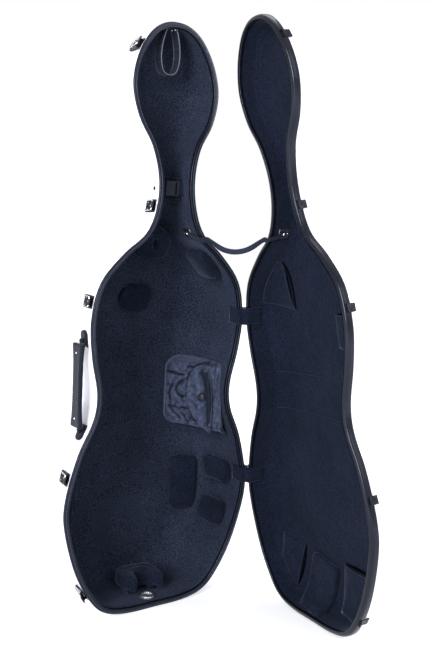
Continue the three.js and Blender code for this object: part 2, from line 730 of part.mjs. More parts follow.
const gripLength = gripSpan - EYE_LENGTH - 2 * GRIP_END_GAP;
const gripProfile = new THREE.Shape();
gripProfile.moveTo(-GRIP_WIDTH / 2, -gripLength / 2);
gripProfile.lineTo(GRIP_WIDTH / 2, -gripLength / 2);
gripProfile.quadraticCurveTo(GRIP_WIDTH / 2 - GRIP_PULL, 0, GRIP_WIDTH / 2, gripLength / 2);
gripProfile.lineTo(-GRIP_WIDTH / 2, gripLength / 2);
gripProfile.quadraticCurveTo(GRIP_PULL - GRIP_WIDTH / 2, 0, -GRIP_WIDTH / 2, -gripLength / 2);
const gripBody = new THREE.ExtrudeGeometry(gripProfile, {
  depth: GRIP_THICK - 2 * GRIP_SOFT,
  bevelSize: GRIP_SOFT,
  bevelThickness: GRIP_SOFT,
  bevelSegments: GRIP_SOFT_STEPS,
  curveSegments: GRIP_CURVE_STEPS,
});
gripBody.translate(0, 0, GRIP_SOFT - GRIP_THICK / 2);
gripBody.applyMatrix4(
  new THREE.Matrix4().makeBasis(
    new THREE.Vector3(0, 1, 0),
    new THREE.Vector3(0, 0, 1),
    new THREE.Vector3(1, 0, 0),
  ),
);
gripBody.translate(GRIP_OUT, 0, 0);
let grip = solidOf(gripBody);
for (const sign of [-1, 1]) {
  const stubLength = EYE_LENGTH + 2 * STUB_REACH;
  const stub = roundBar(PIN, stubLength, WIRE_HOLE_SIDES).translate(0, 0, (sign * gripSpan) / 2);
  grip = grip.add(solidOf(stub));
}
add(BASE, "handle_grip", geometryOf(grip).applyMatrix4(gripFrame), LEATHER);

// Feet on the bottom ends, two to a half
const FOOT_X = 84;
const FOOT_WIDTH = 34;
const FOOT_DEPTH = 22;
const FOOT_THICK = 6;
const FOOT_CORNER = 8;
const FOOT_SOFT = 1.5;
const footFaces = {};
function foot(which, right, back) {
  const sign = right ? 1 : -1;
  const shell = which === "base" ? baseShell : lidShell;
  const { side } = half[which];
  const rows = [-0.5, 0, 0.5].map((i) => [-0.5, 0, 0.5].map((k) => {
    const from = new THREE.Vector3(sign * FOOT_X + i * FOOT_WIDTH, side * (back + k * FOOT_DEPTH), -LENGTH);
    return firstHit(shell, from, new THREE.Vector3(0, 0, 1)).point.z;
  }));
  const low = Math.min(...rows.flat());
  footFaces[which] = [sign * FOOT_X, side * back, low - FOOT_THICK];
  const high = Math.max(...rows.flat());
  const blockTop = high + FOOT_THICK;
  const blockHeight = blockTop - low + FOOT_THICK;
  const block = pad(FOOT_WIDTH, FOOT_DEPTH, blockHeight, FOOT_CORNER, FOOT_SOFT, 0);
  block.translate(sign * FOOT_X, side * back, low - FOOT_THICK);
  return solidOf(block).subtract(solidOf(footSeat(which)));
}

// The outer wall's own solid, grown by the seating gap, that a foot's top is cut to
function footSeat(which) {
  return meshFromRows(wallRows(which, SHELL_AT - SEAT_GAP, -SEAT_GAP, WALL_EDGE), true);
}
const BASE_FOOT_BACK = 0.59 * BASE_DEPTH;
const LID_FOOT_BACK = 0.51 * LID_DEPTH;
const footRows = [["base", BASE, BASE_FOOT_BACK], ["lid", LID, LID_FOOT_BACK]];
for (const [which, group, back] of footRows) {
  for (const right of [true, false]) {
    const side = right ? "hinge" : "latch";
    add(group, which + "_foot_" + side, foot(which, right, back), RUBBER);
  }
}

// Fabric covers over the hinges, folded across the joint inside the case
const COVER_LENGTH = 38;
const COVER_THICK = 1.2;
const openTurn = THREE.MathUtils.degToRad(OPEN_ANGLE);
const swingOpen = new THREE.Matrix4()
  .makeTranslation(HINGE_X, 0, 0)
  .multiply(new THREE.Matrix4().makeRotationAxis(hingeAxis, openTurn))
  .multiply(new THREE.Matrix4().makeTranslation(-HINGE_X, 0, 0));
const COVER_REACH = 34;
const COVER_LIFT = 3.3;
const COVER_OUTWARD_SHARE = 0.35;

// A strap of even thickness along a list of points, wide along a direction given for each point
function strapAlong(points, widths, width, thickness) {
  const curve = new THREE.CatmullRomCurve3(points, false, "centripetal");
  const spans = points.length - 1;
  const steps = 2 * spans;
  const rows = [];
  for (let i = 0; i <= steps; i++) {
    const p = curve.getPoint(i / steps);
    const along = curve.getTangent(i / steps);
    const share = (i / steps) * spans;
    const before = Math.min(Math.floor(share), spans - 1);
    const across = widths[before].clone().lerp(widths[before + 1], share - before);
    const normal = new THREE.Vector3().crossVectors(across, along).normalize();
    const side = new THREE.Vector3().crossVectors(along, normal).normalize();
    rows.push(
      [[1, 1], [-1, 1], [-1, -1], [1, -1]].map(([s, n]) =>
        p.clone()
          .addScaledVector(side, (s * width) / 2)
          .addScaledVector(normal, (n * thickness) / 2)
          .toArray(),
      ),
    );
  }
  const faces = [];
  const at = (i, k) => i * 4 + (k % 4);
  for (let i = 0; i < steps; i++) {
    for (let k = 0; k < 4; k++) {
      const [a, b, c, d] = [at(i, k), at(i + 1, k), at(i + 1, k + 1), at(i, k + 1)];
      // Both broad faces fold on the same diagonal, so a twisted strap keeps its thickness
      faces.push(...(k === 2 ? [[a, b, d], [b, c, d]] : [[a, b, c], [a, c, d]]));
    }
  }
  faces.push([at(0, 0), at(0, 1), at(0, 2)], [at(0, 0), at(0, 2), at(0, 3)]);
  faces.push([at(steps, 2), at(steps, 1), at(steps, 0)], [at(steps, 3), at(steps, 2), at(steps, 0)]);
  return closedGeometry(rows.flat(), faces);
}

function coverPoints(height) {
  const insetOf = RIM_INSET + COVER_LIFT;
  const lipEdge = HALF_GAP - COVER_LIFT;
  const { at: inner } = stationAt(height, true, insetOf);
  const { at: outer } = stationAt(height, true, SEAL_FROM);
  const inward = new THREE.Vector3(-COVER_LIFT, 0, 0);
  const wallPoint = (which, deep) => {
    const lining = which === "base" ? baseLining : lidLining;
    const { side } = half[which];
    const from = new THREE.Vector3(0, side * deep, height);
    return firstHit(lining, from, inward.clone().negate()).point.clone().add(inward);
  };
  const basePoints = [
    wallPoint("base", COVER_REACH),
    new THREE.Vector3(inner.x, COVER_REACH / 2, inner.z),
    new THREE.Vector3(inner.x, lipEdge, inner.z),
  ];
  const lidPoints = [
    new THREE.Vector3(inner.x, -lipEdge, inner.z),
    new THREE.Vector3(inner.x, -COVER_REACH / 2, inner.z),
    wallPoint("lid", COVER_REACH),
  ].map((p) => p.applyMatrix4(swingOpen));
  const middle = basePoints[2].clone().lerp(lidPoints[0], 0.5).lerp(outer, COVER_OUTWARD_SHARE);
  return [...basePoints, middle, ...lidPoints];
}
for (const [name, height] of Object.entries(stations)) {
  const points = coverPoints(height);
  const cover = strapAlong(points, points.map(() => hingeAxis), COVER_LENGTH, COVER_THICK);
  add(BASE, "hinge_cover_" + name, cover, VELOUR);
}

// The stay strap that stops the lid, on an anchor plate at each end
const STAY_HEIGHT = 0.6576 * LENGTH;
const STAY_BACK = 48;
const STAY_LID_BACK = 35;
const ANCHOR_LENGTH = 24;
const ANCHOR_WIDTH = 26;
const ANCHOR_THICK = 2.4;
const STAY_WIDTH = 12;
const STAY_THICK = 1.6;
const STAY_SAG = 26;
const STAY_OVER = 3;
const STAY_FALL = 12;
const ANCHOR_CORNER = 4;
const ANCHOR_SOFT = 0.6;
const ANCHOR_ROOT = 6;
const baseAnchor = insideFrame(baseLining, [0, STAY_BACK, STAY_HEIGHT], [1, 0, 0]);
const lidAnchor = insideFrame(lidLining, [0, -STAY_LID_BACK, STAY_HEIGHT], [1, 0, 0]);
for (const [name, group, frame, space] of [
  ["stay_anchor_base", BASE, baseAnchor, baseCavity],
  ["stay_anchor_lid", LID, lidAnchor, lidCavity],
]) {
  const plate = pad(ANCHOR_WIDTH, ANCHOR_LENGTH, ANCHOR_THICK, ANCHOR_CORNER, ANCHOR_SOFT, ANCHOR_ROOT);
  add(group, name, solidOf(plate.applyMatrix4(frame)).intersect(space), STEEL);
}
// From the anchor along the wall to its front edge, then across the edge profile
function stayEndPoints(frame, sideSign) {
  const lift = ANCHOR_THICK + SEAT_GAP + STAY_THICK / 2;
  const start = new THREE.Vector3(0, 0, lift).applyMatrix4(frame);
  const low = STAY_HEIGHT - STAY_FALL;
  const lip = stationAt(low + STAY_FALL / 3, true, RIM_INSET + STAY_OVER);
  const over = stationAt(low, true, RIM_INSET + STAY_OVER / 2);
  const past = stationAt(low, true, LIP);
  lip.at.y = sideSign * 2 * INNER_LIP_DEPTH;
  over.at.y = -sideSign * STAY_OVER;
  past.at.y = -sideSign * 2 * STAY_OVER;
  const points = [start, start.clone().lerp(lip.at, 0.5), lip.at, over.at, past.at];
  const wide = new THREE.Vector3().setFromMatrixColumn(frame, 1);
  const widths = [wide, wide, lip.along, over.along, past.along];
  return { points, widths };
}
const near = stayEndPoints(baseAnchor, 1);
const far = stayEndPoints(lidAnchor, -1);
const farPoints = far.points.map((p) => p.applyMatrix4(swingOpen)).reverse();
const farWidths = far.widths.map((w) => w.clone().transformDirection(swingOpen)).reverse();
const stayMiddle = [0.25, 0.5, 0.75].map((t) => {
  const p = near.points.at(-1).clone().lerp(farPoints[0], t);
  p.z -= 4 * STAY_SAG * t * (1 - t);
  return p;
});
const upward = new THREE.Vector3(0, 0, 1);
const stayPoints = [...near.points, ...stayMiddle, ...farPoints];
const stayWidths = [...near.widths, ...stayMiddle.map(() => upward), ...farWidths];
add(BASE, "stay_strap", strapAlong(stayPoints, stayWidths, STAY_WIDTH, STAY_THICK), WEB);

// The scroll loop hangs from the head's top wall
const LOOP_WIDTH = 52;
const LOOP_DROP = 98;
const LOOP_THICK = 2;
const LOOP_WEB = 24;
const LOOP_BACK = 64;
const LOOP_X = -10;
const loopFrom = new THREE.Vector3(LOOP_X, LOOP_BACK, 0.93 * LENGTH);
const loopTop = firstHit(baseLining, loopFrom, new THREE.Vector3(0, 0, 1));
const LOOP_FOOT_SHARE = 0.22;
const LOOP_KNEE_SHARE = 0.5;
const LOOP_BELLY_SHARE = 0.6;
const LOOP_FALL_SHARE = 0.3;
const LOOP_STEPS = 6;
function loopShape(width, drop) {
  const foot = width * LOOP_FOOT_SHARE;
  const knee = width * LOOP_KNEE_SHARE;
  const belly = width * LOOP_BELLY_SHARE;
  const fall = drop * LOOP_FALL_SHARE;
  const shape = new THREE.Shape();
  shape.moveTo(-foot, 0);
  shape.bezierCurveTo(-knee, -fall, -belly, -drop, 0, -drop);
  shape.bezierCurveTo(belly, -drop, knee, -fall, foot, 0);
  return shape;
}
const loopOuter = loopShape(LOOP_WIDTH, LOOP_DROP);
const loopInner = loopShape(LOOP_WIDTH - 2 * LOOP_THICK, LOOP_DROP - LOOP_THICK);
const innerPath = new THREE.Path(
  loopInner.getPoints(LOOP_STEPS).map((p) => new THREE.Vector2(p.x, p.y === 0 ? -LOOP_THICK : p.y)),
);
loopOuter.holes.push(innerPath);
const loop = plateOf(loopOuter, LOOP_WEB, LOOP_STEPS).rotateX(Math.PI / 2);
loop.translate(LOOP_X, LOOP_BACK, loopTop.point.z - LOOP_THICK / 2);
add(BASE, "scroll_loop", solidOf(loop).intersect(baseCavity), WEB);

// The neck cradle with its strap and side-release buckle
const CRADLE_Z = 0.7311 * LENGTH;
const CRADLE_HEIGHT = 49;
const CRADLE_FRONT = 42;
const CRADLE_GROOVE = 23;
const CRADLE_SINK = 4;
const GROOVE_SIDES = 16;
const STRAP_WIDTH = 26;
const STRAP_THICK = 1.6;
const cradleBlock = new THREE.BoxGeometry(2 * BOUT_HALF, BASE_DEPTH, CRADLE_HEIGHT);
cradleBlock.translate(0, CRADLE_FRONT + BASE_DEPTH / 2, CRADLE_Z);
const groove = new THREE.CylinderGeometry(CRADLE_GROOVE, CRADLE_GROOVE, 2 * CRADLE_HEIGHT, GROOVE_SIDES);
groove.rotateX(Math.PI / 2).translate(0, CRADLE_FRONT + CRADLE_SINK, CRADLE_Z);
const cradle = solidOf(cradleBlock).subtract(solidOf(groove)).intersect(baseCavity);
add(BASE, "neck_cradle", cradle, VELOUR);

const BUCKLE_X = -4;
const BUCKLE_THICK = 9;
const BUCKLE_HALF = 16;
const BUCKLE_WALL = 1.8;
const BUCKLE_CHEEK = 3;
const SOCKET_LENGTH = 20;
const SOCKET_FLOOR = 4;
const WINDOW_FROM = 7;
const WINDOW_LENGTH = 8;
const WINDOW_STEP = 0.6;
const PLUG_LENGTH = 13;
const PLUG_BAR = 4;
const TONGUE = 12;
const TONGUE_ROOT = 1;
const PLAY = 0.5;
const strapBack = CRADLE_FRONT - SEAT_GAP;
const buckleFront = CRADLE_FRONT - BUCKLE_THICK;

function block(x0, x1, y0, y1, z0, z1) {
  const box = new THREE.BoxGeometry(x1 - x0, y1 - y0, z1 - z0);
  return solidOf(box.translate((x0 + x1) / 2, (y0 + y1) / 2, (z0 + z1) / 2));
}

// A block across the buckle: from and to along the strap, wall off its faces, half its width
function buckleBlock(from, to, wallOff, halfWidth) {
  const low = CRADLE_Z - halfWidth;
  const high = CRADLE_Z + halfWidth;
  return block(from, to, buckleFront + wallOff, strapBack - wallOff, low, high);
}
const socketFrom = BUCKLE_X - SOCKET_LENGTH / 2;
const socketTo = BUCKLE_X + SOCKET_LENGTH / 2;
const roomHalf = BUCKLE_HALF - BUCKLE_CHEEK;
const socketRoom = buckleBlock(socketFrom + SOCKET_FLOOR, 2 * socketTo, BUCKLE_WALL, roomHalf);
const windowFrom = socketFrom + WINDOW_FROM;
const windowWall = BUCKLE_WALL + WINDOW_STEP;
const socketWindow = buckleBlock(windowFrom, windowFrom + WINDOW_LENGTH, windowWall, 2 * BUCKLE_HALF);
const socket = buckleBlock(socketFrom, socketTo, 0, BUCKLE_HALF);
add(BASE, "buckle_socket", socket.subtract(socketRoom).subtract(socketWindow), BLACK);
const plugFrom = socketTo + SEAT_GAP;
const plugTo = plugFrom + PLUG_LENGTH;
const plugSlot = buckleBlock(plugFrom + PLUG_BAR, plugTo - PLUG_BAR, -PLUG_BAR, STRAP_WIDTH / 2 + PLAY);
const tongue = buckleBlock(plugFrom - TONGUE, plugFrom + TONGUE_ROOT, BUCKLE_WALL + PLAY, roomHalf - PLAY);
const plug = buckleBlock(plugFrom, plugTo, 0, BUCKLE_HALF).subtract(plugSlot).add(tongue);
add(BASE, "buckle_plug", plug, BLACK);
for (const [name, from, to] of [
  ["neck_strap_fixed", -BOUT_HALF, socketFrom - SEAT_GAP],
  ["neck_strap_free", plugTo + SEAT_GAP, BOUT_HALF],
]) {
  const low = CRADLE_Z - STRAP_WIDTH / 2;
  const strap = block(from, to, strapBack - STRAP_THICK, strapBack, low, low + STRAP_WIDTH);
  add(BASE, name, strap.intersect(baseCavity), WEB);
}

// Pads of the base, each cut to the lining behind it.
// Start as shares of half-width, depth and length; direction; width, height, thickness, corner, softness
const padTable = [
  ["oval_pad", [0.016, 0.3, 0.534], [0, 1, 0], [90, 64, 14, 31, 4]],
  ["heel_support", [0, 0.3, 0.6455], [0, 1, 0], [90, 72, 58, 24, 6]],
  ["shoulder_pad", [0.246, 0.337, 0.576], [0.83, 0, 0.55], [70, 92, 24, 16, 7]],
  ["side_pad_a", [0.49, 0.3, 0.178], [0.45, 1, 0], [70, 140, 22, 16, 7]],
  ["side_pad_b", [0, 0.463, 0.2144], [1, 0, 0], [94, 62, 22, 14, 7]],
  ["side_pad_c", [0, 0.425, 0.1333], [1, 0, 0], [90, 64, 20, 14, 7]],
  ["side_pad_d", [0, 0.42, 0.2084], [-1, 0, 0], [90, 140, 34, 18, 9]],
  ["side_pad_e", [0, 0.42, 0.125], [-1, 0, 0], [90, 62, 24, 14, 7]],
];
const padSpan = [BOUT_HALF, BASE_DEPTH, LENGTH];
const HEEL_HOLE = 7;
const HEEL_HOLE_LOW = 0.627 * LENGTH;
const HEEL_HOLE_HIGH = 0.645 * LENGTH;
const HEEL_HOLE_BACK = 0.53 * BASE_DEPTH;
for (const [name, startShares, direction, size] of padTable) {
  const [width, height, thickness, corner, soft] = size;
  const from = startShares.map((share, i) => share * padSpan[i]);
  const frame = insideFrame(baseLining, from, direction);
  const cushion = pad(width, height, thickness, corner, soft, 3 * thickness).applyMatrix4(frame);
  let whole = solidOf(cushion).intersect(baseCavity);
  if (name === "heel_support") {
    whole = whole.subtract(
      block(-HEEL_HOLE, HEEL_HOLE, 0, HEEL_HOLE_BACK, HEEL_HOLE_LOW, HEEL_HOLE_HIGH),
    );
  }
  add(BASE, name, whole, VELOUR);
}

// The endpin block: a horseshoe round the pin on a smaller foot, and the cup in front of it
const ARM_FRONT = 35;
const ARM_OUTER = 44;
const ARM_INNER = 28;
const BLOCK_HALF = 52;
const BLOCK_BEND = 88;
const BLOCK_BACK = 123;
const BLOCK_FLAT = 12;
const NOTCH_HALF = 18;
const NOTCH_BEND = 66;
const NOTCH_BACK = 84;
const BLOCK_TOP = 60;
const BLOCK_UNDER = 28;
const BLOCK_SOFT = 4;
const BLOCK_STEPS = 4;
const FOOT_HALF = 38;
const FOOT_FRONT = 58;
const FOOT_BACK = 114;
function blockPlan() {
  const plan = new THREE.Shape();
  plan.moveTo(-ARM_OUTER, ARM_FRONT);
  plan.lineTo(-ARM_INNER, ARM_FRONT);
  plan.lineTo(-NOTCH_HALF, NOTCH_BEND);
  plan.quadraticCurveTo(-NOTCH_HALF, NOTCH_BACK, 0, NOTCH_BACK);
  plan.quadraticCurveTo(NOTCH_HALF, NOTCH_BACK, NOTCH_HALF, NOTCH_BEND);
  plan.lineTo(ARM_INNER, ARM_FRONT);
  plan.lineTo(ARM_OUTER, ARM_FRONT);
  plan.lineTo(BLOCK_HALF, BLOCK_BEND);
  plan.quadraticCurveTo(BLOCK_HALF, BLOCK_BACK, BLOCK_FLAT, BLOCK_BACK);
  plan.lineTo(-BLOCK_FLAT, BLOCK_BACK);
  plan.quadraticCurveTo(-BLOCK_HALF, BLOCK_BACK, -BLOCK_HALF, BLOCK_BEND);
  return plan;
}
const horseshoe = new THREE.ExtrudeGeometry(blockPlan(), {
  depth: BLOCK_TOP - BLOCK_UNDER - 2 * BLOCK_SOFT,
  bevelSize: BLOCK_SOFT,
  bevelOffset: -BLOCK_SOFT,
  bevelThickness: BLOCK_SOFT,
  bevelSegments: 1,
  curveSegments: BLOCK_STEPS,
});
horseshoe.translate(0, 0, BLOCK_UNDER + BLOCK_SOFT);
const blockFoot = block(-FOOT_HALF, FOOT_HALF, FOOT_FRONT, FOOT_BACK, 0, BLOCK_UNDER + BLOCK_SOFT);
const footNotch = block(-NOTCH_HALF, NOTCH_HALF, ARM_FRONT, NOTCH_BACK, 0, BLOCK_UNDER);
const endBlock = solidOf(horseshoe).add(blockFoot.subtract(footNotch)).intersect(baseCavity);
add(BASE, "endpin_block", endBlock, VELOUR);
const CUP = 18;
const CUP_SIDES = 20;
const CUP_HEIGHT = 5;
const CUP_DISH = 3;
const CUP_ROOT = 3;
const CUP_EDGE = 2;
const CUP_LIP = 5;
const CUP_BACK = 0.19 * BASE_DEPTH;
const cupProfile = [
  [0, -CUP_ROOT],
  [CUP, -CUP_ROOT],
  [CUP, CUP_HEIGHT - CUP_EDGE],
  [CUP - CUP_EDGE, CUP_HEIGHT],
  [CUP - CUP_LIP, CUP_HEIGHT],
  [CUP - CUP_LIP, CUP_HEIGHT - CUP_DISH],
  [0, CUP_HEIGHT - CUP_DISH],
];
const cupFrom = new THREE.Vector3(0, CUP_BACK, LENGTH / 10);
const cupAt = firstHit(baseLining, cupFrom, new THREE.Vector3(0, 0, -1)).point;
const cup = new THREE.LatheGeometry(
  cupProfile.map(([x, y]) => new THREE.Vector2(x, y)),
  CUP_SIDES,
);
cup.rotateX(Math.PI / 2).translate(cupAt.x, cupAt.y, cupAt.z);
add(BASE, "endpin_cup", solidOf(cup).intersect(baseCavity), STEEL);

// The accessory pouch across the waist corner: a bag closed round, its mouth in its face under the flap
const POUCH_TOP = 0.4242 * LENGTH;
const POUCH_BOTTOM = 0.2917 * LENGTH;
const POUCH_BACK_X = 0.381 * BOUT_HALF;
const POUCH_FRONT_X = 0.705 * BOUT_HALF;
const POUCH_FRONT_Y = 22;
const POUCH_BACK_Y = 0.884 * BASE_DEPTH;
const POUCH_SKIN = 3;
const POUCH_PANEL = 6;
const POUCH_PAST_SHARE = 0.4;
const POUCH_CORNER = 30;
const POUCH_REACH = 160;
const FLAP = 2.4;
const FLAP_HALF = 82;
const FLAP_REACH = 82;
const FLAP_HINGE_SHARE = 0.861;
const FLAP_FOOT_SHARE = 0.2;
const FLAP_HEAD_SHARE = 0.42;
const FLAP_CURVE_SHARE = 0.75;
const FLAP_BELLY_SHARE = 0.25;
const FLAP_STEPS = 5;
const MOUTH_INSET = 12;
const STUD_OUT = 40;
const STUD_UP = 16;
const STUD_TOP = 5;
const STUD_FOOT = 6;
const STUD_HEIGHT = 2.4;
const STUD_SIDES = 12;
const upwardAxis = new THREE.Vector3(0, 0, 1);
const lineFrom = new THREE.Vector3(POUCH_BACK_X, POUCH_BACK_Y, 0);
const lineTo = new THREE.Vector3(POUCH_FRONT_X, POUCH_FRONT_Y, 0);
const lineEnd = lineFrom.clone().lerp(lineTo, -POUCH_PAST_SHARE);
const pouchMiddle = (POUCH_TOP + POUCH_BOTTOM) / 2;
const towardBack = lineFrom.clone().sub(lineTo).normalize();
const intoPouch = towardBack.clone().cross(upwardAxis);
const flapFoot = lineFrom.clone().lerp(lineTo, FLAP_HINGE_SHARE).setZ(pouchMiddle);
const flapFrame = new THREE.Matrix4().makeBasis(towardBack, upwardAxis, intoPouch).setPosition(flapFoot);

function pouchPrism(inset) {
  const outline = shapeOf([
    [lineEnd.x + inset, lineEnd.y],
    [lineTo.x + inset, lineTo.y + inset],
    [2 * BOUT_HALF, lineTo.y + inset],
    [2 * BOUT_HALF, lineEnd.y],
  ]);
  const height = POUCH_TOP - POUCH_BOTTOM - 2 * inset;
  return solidOf(plateOf(outline, height).translate(0, 0, pouchMiddle));
}

function flapShape(inset) {
  const top = FLAP_HALF - inset;
  const reach = FLAP_REACH - inset;
  const belly = top * FLAP_BELLY_SHARE;
  const shape = new THREE.Shape();
  shape.moveTo(inset, -top);
  shape.lineTo(reach * FLAP_FOOT_SHARE, -top);
  const round = FLAP_CURVE_SHARE;
  shape.bezierCurveTo(reach * round, -top * round, reach, -belly, reach, belly);
  shape.bezierCurveTo(reach, top * round, reach * round, top, reach * FLAP_HEAD_SHARE, top);
  shape.lineTo(inset, top);
  return shape;
}
const faceShape = roundedShape(2 * POUCH_REACH, POUCH_TOP - POUCH_BOTTOM, POUCH_CORNER);
const facePrism = solidOf(plateOf(faceShape, 2 * BASE_DEPTH).applyMatrix4(flapFrame));
const pouchRoom = pouchPrism(POUCH_PANEL).intersect(cavity("base", POUCH_SKIN)).intersect(facePrism);
const mouth = solidOf(plateOf(flapShape(MOUTH_INSET), 3 * POUCH_PANEL, FLAP_STEPS).applyMatrix4(flapFrame));
const bag = pouchPrism(0).intersect(baseCavity).intersect(facePrism);
add(BASE, "pouch_bag", bag.subtract(pouchRoom).subtract(mouth), VELOUR);
const flapAway = -(FLAP / 2 + SEAT_GAP);
const flap = plateOf(flapShape(0), FLAP, FLAP_STEPS).translate(0, 0, flapAway);
const stud = new THREE.CylinderGeometry(STUD_TOP, STUD_FOOT, STUD_HEIGHT, STUD_SIDES)
  .rotateX(-Math.PI / 2)
  .translate(STUD_OUT, STUD_UP, flapAway - FLAP / 2 - STUD_HEIGHT / 3);
const flapHinge = new THREE.Vector3(0, 0, flapAway).applyMatrix4(flapFrame);
add(BASE, "pouch_flap", geometryOf(solidOf(flap).add(solidOf(stud))).applyMatrix4(flapFrame), VELOUR);

// Pockets and the pad on the lid's floor follow its lining in even layers.
// Outlines as shares of half-width and length; the mouth is the side that stays open
const POCKET_THICK = 14;
const POCKET_BACK = 1.6;
const POCKET_ROOM = 11.8;
const POCKET_SEAM_SHARE = 0.86;
const POCKET_OPEN = 14;
const LID_PAD_THICK = 12;
const LID_PAD_WIDTH = 96;
const LID_PAD_HEIGHT = 112;
const LID_PAD_CORNER = 12;
const LID_PAD_LEAN = -0.19;
const lidPadShares = [0.09, 0.0545];
const pocketTable = {
  lid_pocket_upper: {
    mouth: [-1, 0],
    outlineShares: [[0.484, 0.61], [0.377, 0.524], [0.8, 0.5375], [0.8, 0.579], [0.656, 0.6015]],
  },
  lid_pocket_hinge: {
    mouth: [-1, 0],
    outlineShares: [[0.41, 0.1045], [0.525, 0.0136], [0.648, 0.0258], [0.8, 0.06], [0.8, 0.111]],
  },
  lid_pocket_latch: {
    mouth: [0, 1],
    outlineShares: [[-0.213, 0.1015], [-0.213, 0.0197], [-0.45, 0.0167], [-0.7, 0.045], [-0.7, 0.1]],
  },
};
function layer(which, from, to) {
  return cavity(which, from).subtract(cavity(which, to));
}
function lidPrism(shape) {
  const thick = plateOf(shape, 2 * BASE_DEPTH).rotateX(Math.PI / 2);
  return solidOf(thick.translate(0, -BASE_DEPTH - INNER_LIP_DEPTH - HALF_GAP, 0));
}
const pocketLayer = layer("lid", 0, POCKET_THICK);
const roomLayer = layer("lid", POCKET_BACK, POCKET_ROOM);
const pockets = {};
for (const [name, { mouth: open, outlineShares: shares }] of Object.entries(pocketTable)) {
  const corners = shares.map(([u, v]) => new THREE.Vector2(u * BOUT_HALF, v * LENGTH));
  const middle = corners.reduce((sum, p) => sum.add(p), new THREE.Vector2()).divideScalar(corners.length);
  const shift = new THREE.Vector2(...open).multiplyScalar(POCKET_OPEN);
  const roomMiddle = middle.clone().add(shift);
  const inside = corners.map((p) => p.clone().sub(middle).multiplyScalar(POCKET_SEAM_SHARE).add(roomMiddle));
  const start = new THREE.Vector3(middle.x, 0, middle.y);
  const floor = firstHit(lidLining, start, new THREE.Vector3(0, -1, 0));
  const toward = (POCKET_BACK + POCKET_ROOM) / 2 / Math.abs(floor.face.normal.y);
  pockets[name] = [middle.x, floor.point.y + toward, middle.y];
  const outer = lidPrism(new THREE.Shape(corners)).intersect(pocketLayer);
  const room = lidPrism(new THREE.Shape(inside)).intersect(roomLayer);
  add(LID, name, outer.subtract(room), VELOUR);
}
const padPlan = plateOf(roundedShape(LID_PAD_WIDTH, LID_PAD_HEIGHT, LID_PAD_CORNER), 2 * BASE_DEPTH)
  .rotateZ(-LID_PAD_LEAN)
  .translate(lidPadShares[0] * BOUT_HALF, lidPadShares[1] * LENGTH, 0)
  .rotateX(Math.PI / 2)
  .translate(0, -BASE_DEPTH - INNER_LIP_DEPTH - HALF_GAP, 0);
add(LID, "lid_pad", solidOf(padPlan).intersect(layer("lid", 0, LID_PAD_THICK)), VELOUR);

// Stand the open case on its two bottom ends and put the origin under the middle of its bounding box
const TIP = Math.atan(Math.sin(HINGE_LEAN) * Math.tan(openTurn / 2));
HINGED.position.set(HINGE_X, 0, 0);
HINGED.quaternion.setFromAxisAngle(hingeAxis, openTurn);
LID.position.set(-HINGE_X, 0, 0);
HINGED.add(LID);
BASE.add(HINGED);
BASE.rotation.x = TIP;
CASE.add(BASE);
CASE.updateMatrixWorld(true);
const bounds = new THREE.Box3().setFromObject(CASE, true);
const centre = bounds.getCenter(new THREE.Vector3());
BASE.position.set(-centre.x, -centre.y, -bounds.min.z);
CASE.updateMatrixWorld(true);

// Places of the joints and hollows, in the frames of the base and the lid
CASE.userData = {
  latches,
  hingeAxis,
  hingeAt: [HINGE_X, 0, 0],
  eyes,
  gap: eyes[0].clone().lerp(eyes[1], 0.5).addScaledVector(gripOut, -HANDLE_OUT).toArray(),
  cup: [cupAt.x, cupAt.y, cupAt.z + CUP_HEIGHT],
  flapAt: flapHinge.toArray(),
  flapAxis: upward,
  foot: { at: footFaces.base, axis: upward.clone().negate() },
  pockets,
};

export default CASE;
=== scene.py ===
import math
from itertools import product

import bmesh
import bpy
from mathutils import Matrix, Vector
from mathutils.bvhtree import BVHTree
from mathutils.noise import noise


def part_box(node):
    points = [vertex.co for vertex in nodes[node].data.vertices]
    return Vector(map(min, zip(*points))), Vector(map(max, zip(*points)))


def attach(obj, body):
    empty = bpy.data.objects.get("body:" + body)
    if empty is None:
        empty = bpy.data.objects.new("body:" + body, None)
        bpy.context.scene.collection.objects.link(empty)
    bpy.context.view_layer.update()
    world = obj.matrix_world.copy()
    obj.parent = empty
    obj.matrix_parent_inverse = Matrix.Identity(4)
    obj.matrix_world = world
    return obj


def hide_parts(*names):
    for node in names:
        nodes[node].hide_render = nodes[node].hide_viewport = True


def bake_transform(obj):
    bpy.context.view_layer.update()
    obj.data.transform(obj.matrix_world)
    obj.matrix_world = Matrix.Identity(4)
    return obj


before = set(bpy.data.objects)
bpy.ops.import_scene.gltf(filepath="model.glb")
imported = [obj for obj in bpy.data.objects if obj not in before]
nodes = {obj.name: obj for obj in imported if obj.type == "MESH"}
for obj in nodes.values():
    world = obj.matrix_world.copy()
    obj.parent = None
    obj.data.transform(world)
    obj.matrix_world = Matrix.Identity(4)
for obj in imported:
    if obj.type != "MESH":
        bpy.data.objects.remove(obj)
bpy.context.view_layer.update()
scene = bpy.context.scene

